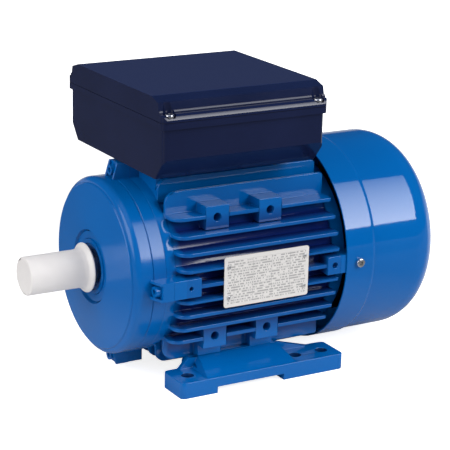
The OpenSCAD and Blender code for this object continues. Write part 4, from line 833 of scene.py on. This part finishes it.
def black_rubber(start):
    bloom = start.noise(scale=150, detail=3)
    return {"Base Color": bloom.mottle(RUBBER_DEEP, RUBBER_PALE), "Roughness": 0.6 + bloom * 0.2}


soft_rubber = finish("soft_rubber", black_rubber, "neck_gasket")
coat(bright_zinc, "box_screws")
coat(bright_brass, "earth_screw")

# Terminal board and capacitors
# A moulded block with brass studs and links, and beside it the start capacitor in its black case
# and the run capacitor in its can, each under two steel straps.
coat(black_nylon, "terminal_block", "start_capacitor")
coat(bright_brass, "terminal_studs", "terminal_links")
coat(cast_aluminium, "run_capacitor")
coat(bright_steel, "capacitor_clamps")

# Cable gland
# A moulded nylon gland in the rear wall of the box. A locknut holds its body from inside, and its
# ribbed cap screws down and squeezes a rubber seal.
coat(black_nylon, "gland_body", "gland_locknut")
coat(soft_rubber, "gland_seal")
RIBS = 18
RIB_RISE = 0.0007
CAP_ROUND = 0.0035
CAP_WALL_T = 0.0015
BORE_D = 0.011
BORE_FACETS = 48
SEAL_ROOM = 0.0002
low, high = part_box("gland_cap")
seal_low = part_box("gland_seal")[0]
middle = (low + high) / 2
cap_r = (high.z - low.z) / 2
cap_l = high.y - low.y
bpy.ops.mesh.primitive_cylinder_add(vertices=2 * RIBS, radius=cap_r - RIB_RISE, depth=cap_l,
                                    location=middle, rotation=(math.pi / 2, 0, 0))
bpy.ops.object.transform_apply(location=True, rotation=True)
cap = bpy.context.object
cap.name = "ribbed_gland_cap"
cap.data.name = cap.name


def on_rib(spot, normal):
    """True for every second facet around the cap."""
    facet = math.atan2(normal.z, normal.x) / math.pi * RIBS
    return abs(normal.y) < EDGE_ON and round(facet - 0.5) % 2 == 0


pick(cap, lambda spot, normal: normal.y < -FACING)
bpy.ops.mesh.bevel(offset=CAP_ROUND, segments=5)
pick(cap, on_rib)
bpy.ops.mesh.extrude_faces_move(TRANSFORM_OT_shrink_fatten={"value": RIB_RISE})
bpy.ops.object.mode_set(mode="OBJECT")
bpy.ops.mesh.primitive_cylinder_add(vertices=BORE_FACETS, radius=BORE_D / 2, depth=2 * cap_l,
                                    location=middle, rotation=(math.pi / 2, 0, 0))
cut_out(cap, bpy.context.object)
inner_l = high.y - seal_low.y + SEAL_ROOM
bpy.ops.mesh.primitive_cylinder_add(vertices=BORE_FACETS, radius=cap_r - CAP_WALL_T, depth=2 * inner_l,
                                    location=(middle.x, high.y, middle.z), rotation=(math.pi / 2, 0, 0))
cut_out(cap, bpy.context.object)
bpy.ops.object.shade_smooth_by_angle(angle=SMOOTH_ANGLE)
cap.data.materials.append(black_nylon)
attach(cap, "motor_body")
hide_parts("gland_cap")

# Box lid
# A lid moulded in the plastic of the box lies on a thin rubber gasket. Four pan head screws in
# pockets at the ends of its round ledges draw it down.
coat(box_plastic, "terminal_box_lid")
coat(soft_rubber, "lid_gasket")
LID_SCREW_TURNS = (30, 75, 10, 50)
low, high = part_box("lid_screws")
pockets = []
for x in (low.x + HEAD_D / 2, high.x - HEAD_D / 2):
    for y in (low.y + HEAD_D / 2, high.y - HEAD_D / 2):
        driven = Matrix.Rotation(math.radians(LID_SCREW_TURNS[len(pockets)]), 4, "Z")
        pockets.append(Matrix.Translation((x, y, high.z - HEAD_H)) @ driven)
set_copies(pan_screw, pockets, "pan_lid_screws", bright_zinc, "lid_screws")
bpy.data.objects.remove(pan_screw)

# Shaft sleeve
# A thin sleeve with a flared rim, moulded in milky plastic and pushed over the shaft end to keep
# it clean and whole in transport.
SLEEVE_WARM = (0.685, 0.66, 0.655)
SLEEVE_PALE = (0.735, 0.71, 0.70)
SLEEVE_EDGE = 0.0005


def milky_plastic(start):
    cloud = start.noise(scale=45)
    return {"Base Color": cloud.mottle(SLEEVE_WARM, SLEEVE_PALE), "Roughness": 0.34 + cloud * 0.1}


finish("milky_plastic", milky_plastic, "shaft_sleeve")
soften(SLEEVE_EDGE, "shaft_sleeve")
